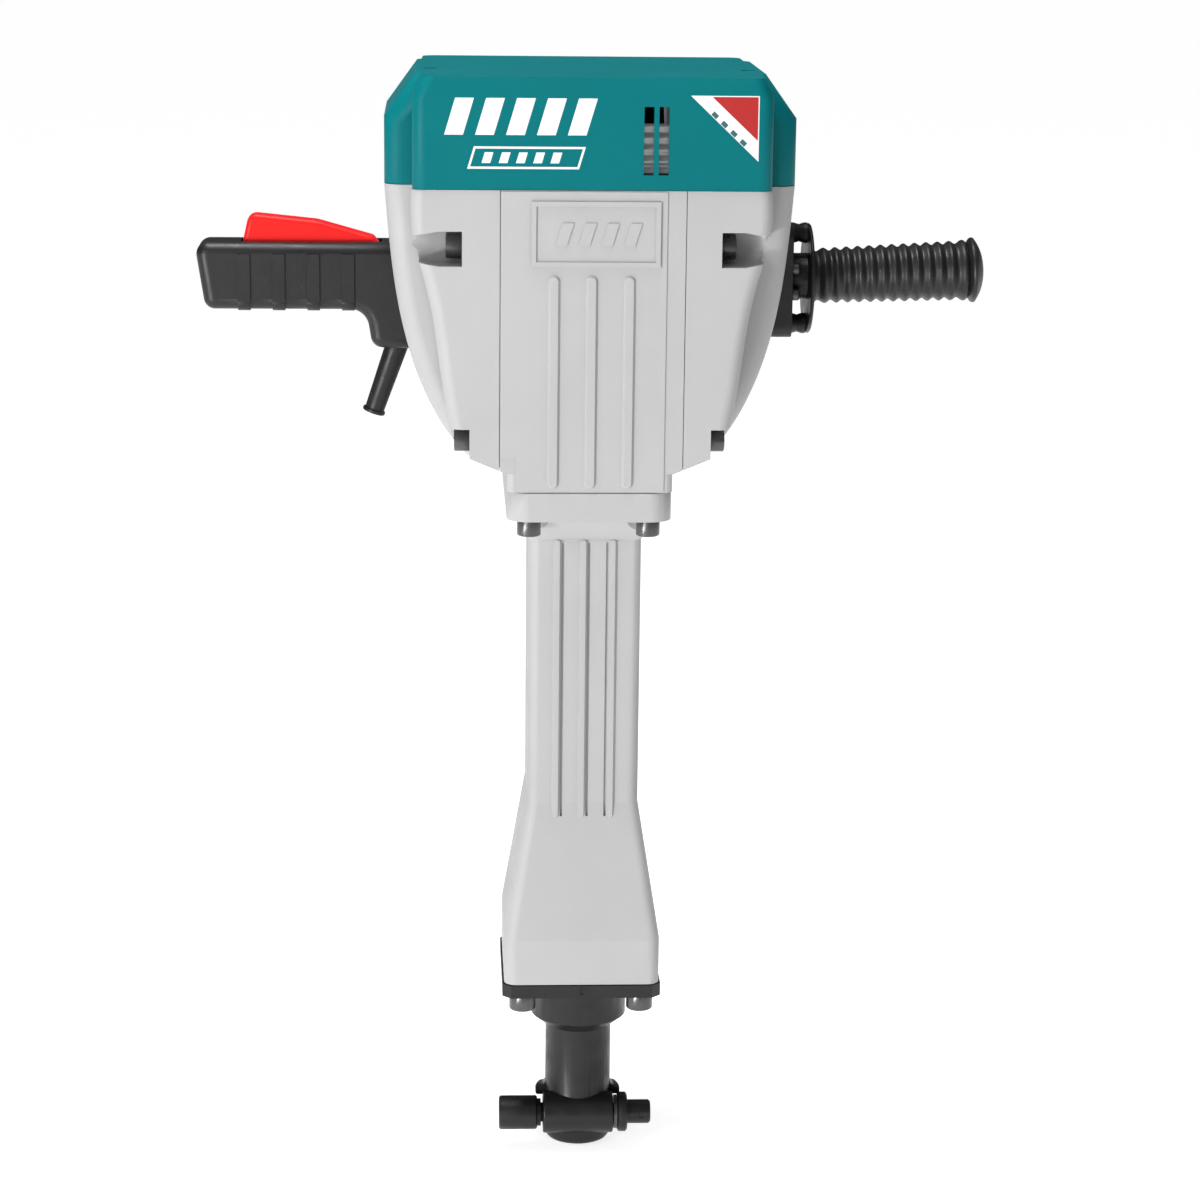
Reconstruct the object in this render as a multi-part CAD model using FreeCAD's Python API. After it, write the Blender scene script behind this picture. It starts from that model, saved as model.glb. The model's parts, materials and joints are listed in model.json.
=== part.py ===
"""Electric jackhammer for 30 mm hexagonal tools, one STEP file per piece, in millimetres.

Frame: the origin is the centre of the tool holder's mouth. +Z runs up the striking axis to the
motor, +X points to the ribbed side grip, and -Y is the front with the raised name panel.
"""
import FreeCAD, Part
import math
import os

V = FreeCAD.Vector

# ---------------------------------------------------------------- driving dimensions
HEX_FLATS = 30.0            # across the flats of the tool shank
HEX_DEPTH = 152.0           # how far the shank goes in
BODY_HALF_DEPTH = 107.0     # front and rear faces of the upper housing
WING_HALF_DEPTH = 74.0      # set-back side wings of the upper housing
BODY_RECESS = 0.8           # the covers and the strip beside the panel lie this far back
LEFT_SEAM = -65.0           # joint planes between the three castings
RIGHT_SEAM = 66.5
GROOVE_W = 0.6              # shadow gap round the outside of each joint between castings
GROOVE_DEEP = 1.6
WALL = 6.0                  # casting wall
CAP_WALL = 4.0

FLANGE_Z = 134.0            # underside of the nose flange
BLOCK_Z = 145.0             # underside of the barrel housing
BLOCK_TOP_Z = 180.0
TAPER_TOP_Z = 285.0
FLARE_Z = 487.0
BARREL_FLANGE_Z = 513.5
CASE_Z = 535.0              # barrel flange top and crankcase floor
CAP_Z = 750.5               # joint between the castings and the top cover
TOP_Z = 829.0

BLOCK_W = 117.5
COLUMN_W = 83.0
COLUMN_D = 92.0
BARREL_FLANGE_W = 118.5
FLANGE_CORNER_R = 16.0
FOOT_R = 6.0                # upright corners of the crankcase's foot
PANEL_RIGHT = 52.7          # right edge of the raised front panel
RIB_W = 6.5                 # ribs down the barrel's column
RIB_GROOVE_W = 1.7          # groove beside each of them
RIB_GROOVE_DEEP = 1.4

UPPER_BOLT_Y = 83.0         # M10 screws of the side covers
UPPER_BOLT_Z = 709.0
UPPER_BOLT_X = 91.5         # seat of their heads
CHANNEL_R = 12.4            # spanner channel to an upper screw
CHANNEL_TAPER_X = 108.0
CHANNEL_END_X = 150.0
CHANNEL_END_R = 5.0
LOWER_BOLT_Y = 86.0         # M8 screws of the side covers
LOWER_BOLT_Z = 569.5
LOWER_BOLT_X = 86.0
BARREL_BOLT_X = 43.0        # M12 screws up through the barrel's top flange
BARREL_BOLT_Y = 89.0
NOSE_BOLT_XY = 44.6         # M12 screws up through the nose flange
M12_R = 6.0
M10_R = 5.0
M8_R = 4.0
M5_R = 2.5

MOTOR_Z = 766.0             # motor axis, parallel to X
CRANK_Z = 657.0             # crank axis, parallel to X
CRANK_R = 25.0              # half the piston stroke
ROD_L = 120.0               # between the connecting rod's eyes
PIN_Z = CRANK_Z - CRANK_R - ROD_L   # piston pin at bottom dead centre

BORE_R = 27.0               # cylinder bore
LINER_R = 32.0
RUNNING = 0.05              # radial clearance of a running fit

PRESSURE_ANGLE = math.radians(25.0)
STAGE1_MODULE = 2.0
MOTOR_TEETH = 11
LARGE_TEETH = 42
STAGE2_MODULE = 2.5
SMALL_TEETH = 12
CRANK_TEETH = 35

LOCK_Y = -17.5              # tool retaining pin, parallel to X in front of the socket
LOCK_Z = 25.0
LOCK_SPRING_X = 21.5        # floor of the pocket for the pin's spring
CROSS_END_X = 26.8          # right end of the holder's cross tube
LOCK_WASHER_X = (27.6, 29.9)
LOCK_WASHER_R = 13.0
COLLAR_X = 30.2             # the pin's collar starts here at rest
LEFT_PIVOT = (-158.0, 0.0, 693.0)   # trigger lever hinge, axis along Y
CAP_SCREW_X = 114.0         # the two screws on top, beside the motor's axis
CAP_SCREW_Y = -28.0
GRIP_AXIS_Z = 677.0         # side grip's axis where it leaves the damper disc
GRIP_TILT = 2.4             # degrees upwards

# outlines seen from the front, as (distance from the middle, height)
WING_OUTLINE = [(146.5, CAP_Z), (138.5, 673.5), (119.0, 603.0), (100.0, 569.0), (88.0, 555.0)]
BLOCK_OUTLINE = [(126.5, CAP_Z), (126.0, 716.0), (117.0, 682.0), (104.5, 605.0), (96.0, 563.5)]
SLOPE_END = (59.5, 548.5)

STEPS = {}


# ---------------------------------------------------------------- helpers
def keep(name, *shapes):
    """Store a node; several shapes become one group of separate solids."""
    STEPS[name] = shapes[0] if len(shapes) == 1 else Part.makeCompound(list(shapes))


def box(x0, x1, y0, y1, z0, z1):
    return Part.makeBox(x1 - x0, y1 - y0, z1 - z0, V(x0, y0, z0))


def cyl_z(r, z0, z1, x=0.0, y=0.0):
    return Part.makeCylinder(r, z1 - z0, V(x, y, z0), V(0, 0, 1))


def cyl_x(r, x0, x1, y=0.0, z=0.0):
    return Part.makeCylinder(r, x1 - x0, V(x0, y, z), V(1, 0, 0))


def cyl_y(r, y0, y1, x=0.0, z=0.0):
    return Part.makeCylinder(r, y1 - y0, V(x, y0, z), V(0, 1, 0))


def ring_x(r_out, r_in, x0, x1, y=0.0, z=0.0):
    return cyl_x(r_out, x0, x1, y, z).cut(cyl_x(r_in, x0 - 1, x1 + 1, y, z))


def ring_z(r_out, r_in, z0, z1, x=0.0, y=0.0):
    return cyl_z(r_out, z0, z1, x, y).cut(cyl_z(r_in, z0 - 1, z1 + 1, x, y))


def turned_z(profile):
    """Turn (radius, height) points round the striking axis."""
    points = [V(r, 0, z) for r, z in profile]
    face = Part.Face(Part.makePolygon(points + [points[0]]))
    return face.revolve(V(0, 0, 0), V(0, 0, 1), 360)


def turned_x(profile, y=0.0, z=0.0):
    """Turn (x, radius) points round a line parallel to X."""
    points = [V(x, y, z + r) for x, r in profile]
    face = Part.Face(Part.makePolygon(points + [points[0]]))
    return face.revolve(V(0, y, z), V(1, 0, 0), 360)


def to_x(shape, x=0.0, y=0.0, z=0.0):
    """Lay a shape drawn along Z along X, and move its foot to a point."""
    shape.Placement = FreeCAD.Placement(V(x, y, z), FreeCAD.Rotation(V(1, 1, 1), 120))
    return shape


def fuse(shapes):
    return shapes[0].multiFuse(list(shapes[1:])).removeSplitter()


def is_vertical(edge):
    a, b = edge.Vertexes[0].Point, edge.Vertexes[-1].Point
    return abs(a.x - b.x) < 1e-4 and abs(a.y - b.y) < 1e-4 and abs(a.z - b.z) > 1e-3


def vertical_fillet(solid, radius):
    return solid.makeFillet(radius, [e for e in solid.Edges if len(e.Vertexes) == 2 and is_vertical(e)])


def rounded_block(half_x, half_y, z0, z1, radius, x=0.0, y=0.0):
    return vertical_fillet(box(x - half_x, x + half_x, y - half_y, y + half_y, z0, z1), radius)


def hexagon_prism(across_flats, z0, z1, x=0.0, y=0.0):
    """Prism along Z with two flats square to Y."""
    corner = across_flats / math.sqrt(3.0)
    points = []
    for i in range(7):
        a = math.radians(60 * i)
        points.append(V(x + corner * math.cos(a), y + corner * math.sin(a), z0))
    return Part.Face(Part.makePolygon(points)).extrude(V(0, 0, z1 - z0))


def front_prism(points, half_depth):
    """Extrude a closed list of (x, z) corners through the depth, front to rear."""
    wire = Part.makePolygon([V(x, -half_depth, z) for x, z in points + [points[0]]])
    return Part.Face(wire).extrude(V(0, 2 * half_depth, 0))


def socket_screw_down(x, y, z_seat, head_r, head_h, shank_r, shank_l):
    """Socket-head screw driven upwards: its head hangs below the seat."""
    head = cyl_z(head_r, z_seat - head_h, z_seat, x, y)
    head = head.makeChamfer(0.8, [e for e in head.Edges if abs(e.BoundBox.ZMax - (z_seat - head_h)) < 1e-3
                                  and e.Curve.TypeId == "Part::GeomCircle"])
    shank = cyl_z(shank_r, z_seat, z_seat + shank_l, x, y)
    socket = hexagon_prism(head_r, z_seat - head_h - 1, z_seat - head_h + head_r * 0.55, x, y)
    return head.fuse(shank).cut(socket).removeSplitter()


def socket_screw_x(x_seat, y, z, head_r, head_h, shank_r, shank_l, side):
    """Socket-head screw along X; side +1 has its head at the right of the seat."""
    screw = socket_screw_down(0, 0, 0, head_r, head_h, shank_r, shank_l)
    screw.Placement = FreeCAD.Placement(V(x_seat, y, z), FreeCAD.Rotation(V(0, 1, 0), -90 * side))
    return screw


def socket_screw_y(x, y_seat, z, head_r, head_h, shank_r, shank_l, side):
    """Socket-head screw along Y; side -1 has its head in front of the seat."""
    screw = socket_screw_down(0, 0, 0, head_r, head_h, shank_r, shank_l)
    screw.Placement = FreeCAD.Placement(V(x, y_seat, z), FreeCAD.Rotation(V(1, 0, 0), 90 * side))
    return screw


# ---------------------------------------------------------------- gears
def involute(base_r, radius):
    """Angle that the involute has turned through when it reaches a radius."""
    t = math.sqrt(max((radius / base_r) ** 2 - 1.0, 0.0))
    return t - math.atan(t)


def spur_gear(module, teeth, width, tooth_at, backlash=0.10):
    """Spur gear along Z from z = 0, one tooth centred at the angle tooth_at (degrees)."""
    pitch_r = module * teeth / 2.0
    base_r = pitch_r * math.cos(PRESSURE_ANGLE)
    tip_r = pitch_r + 0.8 * module
    root_r = pitch_r - 1.1 * module
    start_r = max(base_r, root_r + 0.02)
    half = math.pi / (2 * teeth) - backlash / (2 * pitch_r) + involute(base_r, pitch_r)
    flank = []
    for i in range(4):
        r = start_r + (tip_r - start_r) * i / 3.0
        flank.append((r, half - involute(base_r, r)))
    edges = []
    for k in range(teeth):
        centre = math.radians(tooth_at) + 2 * math.pi * k / teeth

        def at(r, a):
            return V(r * math.cos(centre + a), r * math.sin(centre + a), 0)

        rising = [at(r, -a) for r, a in flank]
        falling = [at(r, a) for r, a in reversed(flank)]
        foot = at(root_r, -flank[0][1])
        far_foot = at(root_r, flank[0][1])
        gap = 2 * math.pi / teeth - flank[0][1]
        edges.append(Part.LineSegment(foot, rising[0]).toShape())
        for side in (rising, falling):
            curve = Part.BSplineCurve()
            curve.interpolate(side)
            if side is falling:
                edges.append(Part.Arc(rising[-1], at(tip_r, 0), falling[0]).toShape())
            edges.append(curve.toShape())
        edges.append(Part.LineSegment(falling[-1], far_foot).toShape())
        edges.append(Part.Arc(far_foot, at(root_r, math.pi / teeth), at(root_r, gap)).toShape())
    wire = Part.Wire(Part.__sortEdges__(edges))
    return Part.Face(wire).extrude(V(0, 0, width))


CENTRE_1 = STAGE1_MODULE * (MOTOR_TEETH + LARGE_TEETH) / 2.0
CENTRE_2 = STAGE2_MODULE * (SMALL_TEETH + CRANK_TEETH) / 2.0
AXES_APART = MOTOR_Z - CRANK_Z
ALONG = (CENTRE_1 ** 2 - CENTRE_2 ** 2 + AXES_APART ** 2) / (2 * AXES_APART)
MIDDLE_Y = math.sqrt(CENTRE_1 ** 2 - ALONG ** 2)
MIDDLE_Z = MOTOR_Z - ALONG


# ---------------------------------------------------------------- housing outlines
def half_outline(points, side, inset=0.0):
    """Face in the XZ plane for one side of the upper housing, from the middle plane outwards."""
    edge = [V(side * (x - inset), 0, z + (inset if i == len(points) - 1 else 0.0))
            for i, (x, z) in enumerate(points)]
    curve = Part.BSplineCurve()
    curve.interpolate(edge)
    slope_end = V(side * (SLOPE_END[0] - inset), 0, SLOPE_END[1] + inset)
    bottom = V(0, 0, SLOPE_END[1] + inset)
    top = V(0, 0, CAP_Z)
    wire = Part.Wire([
        Part.LineSegment(top, edge[0]).toShape(),
        curve.toShape(),
        Part.LineSegment(edge[-1], slope_end).toShape(),
        Part.LineSegment(slope_end, bottom).toShape(),
        Part.LineSegment(bottom, top).toShape()])
    return Part.Face(wire)


def outline_prism(points, side, half_depth, round_r, inset=0.0):
    """Prism through the depth whose long front and rear edges are rounded."""
    face = half_outline(points, side, inset)
    face.translate(V(0, -half_depth, 0))
    solid = face.extrude(V(0, 2 * half_depth, 0))
    if round_r <= 0:
        return solid
    edges = [e for e in solid.Edges if e.Curve.TypeId == "Part::GeomBSplineCurve"]
    return solid.makeFillet(round_r, edges)


def cover_solid(side):
    """Outside of one side of the upper housing, from the middle plane, with no cavity."""
    block = outline_prism(BLOCK_OUTLINE, side, BODY_HALF_DEPTH - BODY_RECESS, 9.0)
    wing = outline_prism(WING_OUTLINE, side, WING_HALF_DEPTH, 13.0)
    return block.fuse(wing)


def cover_cavity(side):
    """Space inside one side of the upper housing."""
    block = outline_prism(BLOCK_OUTLINE, side, BODY_HALF_DEPTH - BODY_RECESS - WALL, 0.0, WALL)
    wing = outline_prism(WING_OUTLINE, side, WING_HALF_DEPTH - WALL, 0.0, WALL)
    return block.fuse(wing)


def bolt_channel(side, face):
    """Spanner channel of an upper bolt, open to the front or rear and narrower at its outer end."""
    y = face * UPPER_BOLT_Y
    profile = [(UPPER_BOLT_X, 0.0), (UPPER_BOLT_X, CHANNEL_R), (CHANNEL_TAPER_X, CHANNEL_R),
               (CHANNEL_END_X, CHANNEL_END_R), (CHANNEL_END_X, 0.0)]
    channel = turned_x([(side * x, r) for x, r in profile], y, UPPER_BOLT_Z)
    corners = [(side * x, UPPER_BOLT_Z + r) for x, r in profile[1:-1]]
    corners += [(side * x, UPPER_BOLT_Z - r) for x, r in reversed(profile[1:-1])]
    wire = Part.makePolygon([V(x, y, z) for x, z in corners + [corners[0]]])
    return [channel, Part.Face(wire).extrude(V(0, face * 100.0, 0))]


def side_cover(side, seam):
    """One of the two outer castings, with its bolt channels at front and rear."""
    solid = cover_solid(side)
    keep_side = box(seam, 200, -200, 200, 500, 800) if side > 0 else box(-200, seam, -200, 200, 500, 800)
    hollow = cover_cavity(side)
    bosses = []
    cuts = []
    for face in (-1, 1):
        y = face * UPPER_BOLT_Y
        cuts += bolt_channel(side, face)
        jacket = cyl_x(20.0, min(seam, side * 150), max(seam, side * 150), y, UPPER_BOLT_Z)
        bosses.append(jacket)
        y = face * LOWER_BOLT_Y
        inner, head = side * LOWER_BOLT_X, side * 200.0
        pocket = cyl_x(11.0, min(inner, head), max(inner, head), y, LOWER_BOLT_Z)
        mouth = box(min(inner, head), max(inner, head), min(y, face * 200), max(y, face * 200),
                    LOWER_BOLT_Z - 60.0, LOWER_BOLT_Z + 11.0)
        below = box(min(inner, head), max(inner, head), min(y, face * 74.5), max(y, face * 74.5),
                    LOWER_BOLT_Z - 60.0, LOWER_BOLT_Z)
        cuts += [pocket, mouth, below]
        bosses.append(cyl_x(17.0, min(seam, side * 150), max(seam, side * 150), y, LOWER_BOLT_Z))
    shell = solid.cut(hollow)
    lugs = fuse(bosses).common(solid)
    shell = shell.fuse(lugs)
    for cut in cuts:
        shell = shell.cut(cut)
    for face in (-1, 1):
        start, end = min(seam, side * 150), max(seam, side * 150)
        shell = shell.cut(cyl_x(M10_R, start, end, face * UPPER_BOLT_Y, UPPER_BOLT_Z))
        shell = shell.cut(cyl_x(M8_R, start, end, face * LOWER_BOLT_Y, LOWER_BOLT_Z))
    return shell.common(keep_side).removeSplitter()


# ---------------------------------------------------------------- upper housing
def seam_groove(side, x0, x1):
    """What a shallow gap round the outside of the upper housing takes away between x0 and x1."""
    core = outline_prism(BLOCK_OUTLINE, side, BODY_HALF_DEPTH - BODY_RECESS - GROOVE_DEEP, 0.0, GROOVE_DEEP)
    return box(x0, x1, -200, 200, 500, CAP_Z).cut(core)


def crankcase():
    """Middle casting: raised front and rear panels, foot, motor yoke and the inner crank bearing's web."""
    front = BODY_HALF_DEPTH
    whole = cover_solid(1).fuse(cover_solid(-1))
    slab = whole.common(box(LEFT_SEAM, RIGHT_SEAM, -200, 200, SLOPE_END[1], CAP_Z))
    slab = slab.cut(seam_groove(-1, LEFT_SEAM, LEFT_SEAM + GROOVE_W))
    slab = slab.cut(seam_groove(1, RIGHT_SEAM - GROOVE_W, RIGHT_SEAM))
    foot = rounded_block(BARREL_FLANGE_W / 2, front - BODY_RECESS, CASE_Z, 580.0, FOOT_R)
    body = slab.fuse(foot)
    cavity = box(LEFT_SEAM - 1, RIGHT_SEAM + 1, -front + WALL + 1, front - WALL - 1, 556.0, CAP_Z + 1)
    sump = box(-54, 54, -front + WALL + 1, front - WALL - 1, CASE_Z + 11.0, 560.0)
    body = body.cut(cavity).cut(sump)
    extras = []
    for face in (-1, 1):
        panel = box(LEFT_SEAM + GROOVE_W, PANEL_RIGHT, -front, -front + 3, 560, CAP_Z - 0.8)
        lower = box(-BARREL_FLANGE_W / 2 + FOOT_R, PANEL_RIGHT, -front, -front + 3, CASE_Z + 0.8, 560)
        panel = panel.fuse(lower).removeSplitter()
        extras.append(panel if face < 0 else panel.mirror(V(0, 0, 0), V(0, 1, 0)))
        for x in (-26.6, 0.0, 26.6):
            extras.append(raised_rib(x, 8.5, 538.0, 691.0, face * front, 2.2))
        for sx in (-1, 1):
            extras.append(cyl_z(11.0, CASE_Z, 566.0, sx * BARREL_BOLT_X, face * BARREL_BOLT_Y))
        extras.append(plate_frame(face))
    # web that carries the inner crank bearing, and the deck under the motor
    web = box(22.0, 41.0, -front + 3, front - 3, CASE_Z + 5, 709.5)
    deck = box(LEFT_SEAM, RIGHT_SEAM - 7.0, -front + 3, front - 3, 704.5, 709.5)
    yoke = box(-60.0, 6.0, -front + 3, front - 3, 709.5, 724.0)
    body = body.fuse(extras + [web, deck, yoke])
    body = body.cut(cyl_x(26.0, 24.0, 42.0, 0, CRANK_Z))
    body = body.cut(cyl_x(20.0, 20.0, 25.0, 0, CRANK_Z))
    body = body.cut(cyl_x(54.2, -70.0, 10.0, 0, MOTOR_Z))
    body = body.cut(cyl_x(50.0, 9.0, 70.0, 0, MOTOR_Z))
    body = body.cut(cyl_z(LINER_R, 500, 600))
    for sx in (-1, 1):
        for sy in (-1, 1):
            body = body.cut(cyl_z(M12_R, CASE_Z - 1, 560.0, sx * BARREL_BOLT_X, sy * BARREL_BOLT_Y))
            seam = RIGHT_SEAM if sx > 0 else LEFT_SEAM
            body = body.cut(cyl_x(M10_R, seam - 8.0, seam + 8.0, sy * UPPER_BOLT_Y, UPPER_BOLT_Z))
    return body.removeSplitter()


def raised_rib(x, width, z0, z1, y_face, height):
    """Half-round rib with round ends on a front (negative) or rear face."""
    out = -1 if y_face < 0 else 1
    r = width / 2
    base = box(x - r, x + r, min(y_face - out * 3, y_face), max(y_face - out * 3, y_face), z0 + r, z1 - r)
    top = box(x - r + 1.6, x + r - 1.6, min(y_face, y_face + out * height), max(y_face, y_face + out * height),
              z0 + r, z1 - r)
    sides = top
    for sx in (-1, 1):
        wedge = Part.makePolygon([
            V(x + sx * (r - 1.6), y_face, z0 + r), V(x + sx * r, y_face, z0 + r),
            V(x + sx * (r - 1.6), y_face + out * height, z0 + r), V(x + sx * (r - 1.6), y_face, z0 + r)])
        sides = sides.fuse(Part.Face(wedge).extrude(V(0, 0, z1 - z0 - 2 * r)))
    ends = []
    for z in (z0 + r, z1 - r):
        cone = Part.makeCone(r, r - 1.6, height, V(x, y_face, z), V(0, out, 0))
        ends.append(cone)
    return fuse([base, sides] + ends)


def plate_frame(face):
    """Raised rectangular name plate, left blank but for slanted bars."""
    y0 = BODY_HALF_DEPTH
    outer = box(-43.0, 48.0, -y0 - 1.6, -y0 + 1, 697.0, 743.0)
    inner = box(-39.5, 44.5, -y0 - 2.5, -y0 - 0.4, 700.5, 739.5)
    plate = outer.cut(inner)
    for i in range(4):
        x = -26.0 + 16.0 * i
        points = [V(x, -y0 - 1.2, 712), V(x + 8, -y0 - 1.2, 712), V(x + 13, -y0 - 1.2, 728),
                  V(x + 5, -y0 - 1.2, 728)]
        bar = Part.Face(Part.makePolygon(points + [points[0]])).extrude(V(0, 1.4, 0))
        plate = plate.fuse(bar)
    return plate if face < 0 else plate.mirror(V(0, 0, 0), V(0, 1, 0))


def cap_outer(inset, half_depth_block, half_depth_wing):
    """Outside of the top cover, or its cavity when inset is not zero; the cavity starts below the joint."""
    wing = [(-146.5, CAP_Z), (146.5, CAP_Z), (146.5, 798.0), (124.0, TOP_Z), (-124.0, TOP_Z), (-146.5, 798.0)]
    block = [(-126.5, CAP_Z), (126.5, CAP_Z), (126.5, 815.0), (120.0, TOP_Z), (-120.0, TOP_Z), (-126.5, 815.0)]
    solids = []
    for outline, depth, radius in ((wing, half_depth_wing, 13.0), (block, half_depth_block, 9.0)):
        points = []
        for x, z in outline:
            at_joint = z == CAP_Z
            height = z - (min(inset, 1.0) if at_joint else inset)
            points.append((x - math.copysign(inset, x), height))
        prism = front_prism(points, depth)
        solids.append(prism.makeFillet(radius - inset, [e for e in prism.Edges if is_side_edge(e, depth)]))
    return solids[0].fuse(solids[1])


def is_side_edge(edge, depth):
    """True for the upright and sloping side edges and not the top's, on the front and rear faces."""
    box_ = edge.BoundBox
    flat = abs(box_.YMax - box_.YMin) < 1e-4
    return flat and abs(abs(box_.YMax) - depth) < 1e-3 and box_.ZLength > 1.0


def top_cover():
    outer = cap_outer(0.0, BODY_HALF_DEPTH, WING_HALF_DEPTH)
    inner = cap_outer(CAP_WALL, BODY_HALF_DEPTH - CAP_WALL, WING_HALF_DEPTH - CAP_WALL)
    bosses = [cyl_z(5.5, CAP_Z, TOP_Z - 2, sx * CAP_SCREW_X, CAP_SCREW_Y) for sx in (-1, 1)]
    cover = outer.cut(inner).fuse([b.common(outer) for b in bosses])
    core = cap_outer(GROOVE_DEEP, BODY_HALF_DEPTH - GROOVE_DEEP, WING_HALF_DEPTH - GROOVE_DEEP)
    cover = cover.cut(box(-200, 200, -200, 200, CAP_Z, CAP_Z + GROOVE_W).cut(core))
    for x in (35.3, 45.8):
        for y in (-1, 1):
            cover = cover.cut(box(x, x + 7.0, min(y * 90, y * 120), max(y * 90, y * 120), 761.5, 809.0))
    for i in range(5):
        x = -96.0 + 10.5 * i
        cover = cover.cut(box(x, x + 6.0, 90, 120, 765.0, 805.0))
    for sx in (-1, 1):
        cover = cover.cut(cyl_z(2.6, CAP_Z - 1, TOP_Z + 1, sx * CAP_SCREW_X, CAP_SCREW_Y))
        cover = cover.cut(cyl_z(5.2, TOP_Z - 5, TOP_Z + 1, sx * CAP_SCREW_X, CAP_SCREW_Y))
    return cover.removeSplitter()


def top_cover_screws():
    screws = []
    for x in (-CAP_SCREW_X, CAP_SCREW_X):
        head = cyl_z(5.0, TOP_Z - 5, TOP_Z - 1.2, x, CAP_SCREW_Y)
        shank = cyl_z(2.5, CAP_Z - 14, TOP_Z - 5, x, CAP_SCREW_Y)
        screws.append(head.fuse(shank).cut(hexagon_prism(5.0, TOP_Z - 4, TOP_Z, x, CAP_SCREW_Y)))
    return screws


def seat_lugs(side):
    """Small posts inside the side covers that take the top cover's screws."""
    x = side * CAP_SCREW_X
    post = cyl_z(7.0, CAP_Z - 30, CAP_Z, x, CAP_SCREW_Y)
    bridge = box(min(x, side * 146), max(x, side * 146), CAP_SCREW_Y - 6, CAP_SCREW_Y + 6, CAP_Z - 30, CAP_Z)
    return fuse([post, bridge]).cut(cyl_z(2.5, CAP_Z - 20, CAP_Z + 1, x, CAP_SCREW_Y))


def cover_bolts(side, seam):
    bolts = []
    for face in (-1, 1):
        bolts.append(socket_screw_x(side * UPPER_BOLT_X, face * UPPER_BOLT_Y, UPPER_BOLT_Z, 9.25, 11.5, M10_R,
                                    abs(side * UPPER_BOLT_X - seam) + 7.0, side))
        bolts.append(socket_screw_x(side * LOWER_BOLT_X, face * LOWER_BOLT_Y, LOWER_BOLT_Z, 8.0, 11.0, M8_R,
                                    abs(side * LOWER_BOLT_X - seam), side))
    return bolts


# ---------------------------------------------------------------- barrel and nose
def loft(sections):
    """Ruled solid through (half width, half depth, height, corner radius) sections."""
    wires = []
    for hx, hy, z, r in sections:
        block = rounded_block(hx, hy, z, z + 1, r)
        face = [f for f in block.Faces if abs(f.CenterOfMass.z - z) < 1e-6 and f.BoundBox.ZLength < 1e-6][0]
        wires.append(face.OuterWire)
    return Part.makeLoft(wires, True, True)


def barrel_housing():
    """Grey column from the nose flange to the crankcase, with three ribs at front and rear."""
    hw, hd = COLUMN_W / 2, COLUMN_D / 2
    body = fuse([
        rounded_block(BLOCK_W / 2, BLOCK_W / 2, BLOCK_Z, BLOCK_TOP_Z, 9.0),
        loft([(BLOCK_W / 2, BLOCK_W / 2, BLOCK_TOP_Z, 9.0), (hw, hd, TAPER_TOP_Z, 8.0)]),
        rounded_block(hw, hd, TAPER_TOP_Z, FLARE_Z, 8.0),
        loft([(hw, hd, FLARE_Z, 8.0), (BARREL_FLANGE_W / 2 - 3, 92.0, BARREL_FLANGE_Z, 12.0)]),
        rounded_block(BARREL_FLANGE_W / 2, BODY_HALF_DEPTH, BARREL_FLANGE_Z, CASE_Z, FLANGE_CORNER_R)])
    for sx in (-1, 1):
        for sy in (-1, 1):
            body = body.cut(cyl_z(20.0, FLARE_Z - 22, BARREL_FLANGE_Z, sx * 49.0, sy * 83.0))
            body = body.cut(cyl_z(M12_R, BARREL_FLANGE_Z - 1, CASE_Z + 1,
                                  sx * BARREL_BOLT_X, sy * BARREL_BOLT_Y))
            body = body.cut(cyl_z(M12_R, BLOCK_Z - 1, BLOCK_Z + 30, sx * NOSE_BOLT_XY, sy * NOSE_BOLT_XY))
    ribs = []
    grooves = []
    for sy in (-1, 1):
        for x, side in ((-20.6, 1), (-1.3, 1), (20.4, -1)):
            ribs.append(raised_rib(x, RIB_W, 273.0, 489.0, sy * hd, 2.4))
            inner = x + side * RIB_W / 2
            outer = inner + side * RIB_GROOVE_W
            deep = sy * (hd - RIB_GROOVE_DEEP)
            grooves.append(box(min(inner, outer), max(inner, outer), min(deep, sy * (hd + 4)),
                               max(deep, sy * (hd + 4)), 275.0, 485.0))
    body = body.fuse(ribs)
    for groove in grooves:
        body = body.cut(groove)
    core = rounded_block(BARREL_FLANGE_W / 2 - GROOVE_DEEP, BODY_HALF_DEPTH - GROOVE_DEEP,
                         CASE_Z - GROOVE_W, CASE_Z, FLANGE_CORNER_R - GROOVE_DEEP)
    body = body.cut(box(-200, 200, -200, 200, CASE_Z - GROOVE_W, CASE_Z).cut(core))
    body = body.cut(cyl_z(LINER_R, 270, CASE_Z + 1)).cut(cyl_z(42.0, BLOCK_Z - 1, 270))
    return body.removeSplitter()


def barrel_bolts():
    return [socket_screw_down(sx * BARREL_BOLT_X, sy * BARREL_BOLT_Y, BARREL_FLANGE_Z, 8.6, 13.0, M12_R, 44.0)
            for sx in (-1, 1) for sy in (-1, 1)]


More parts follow.
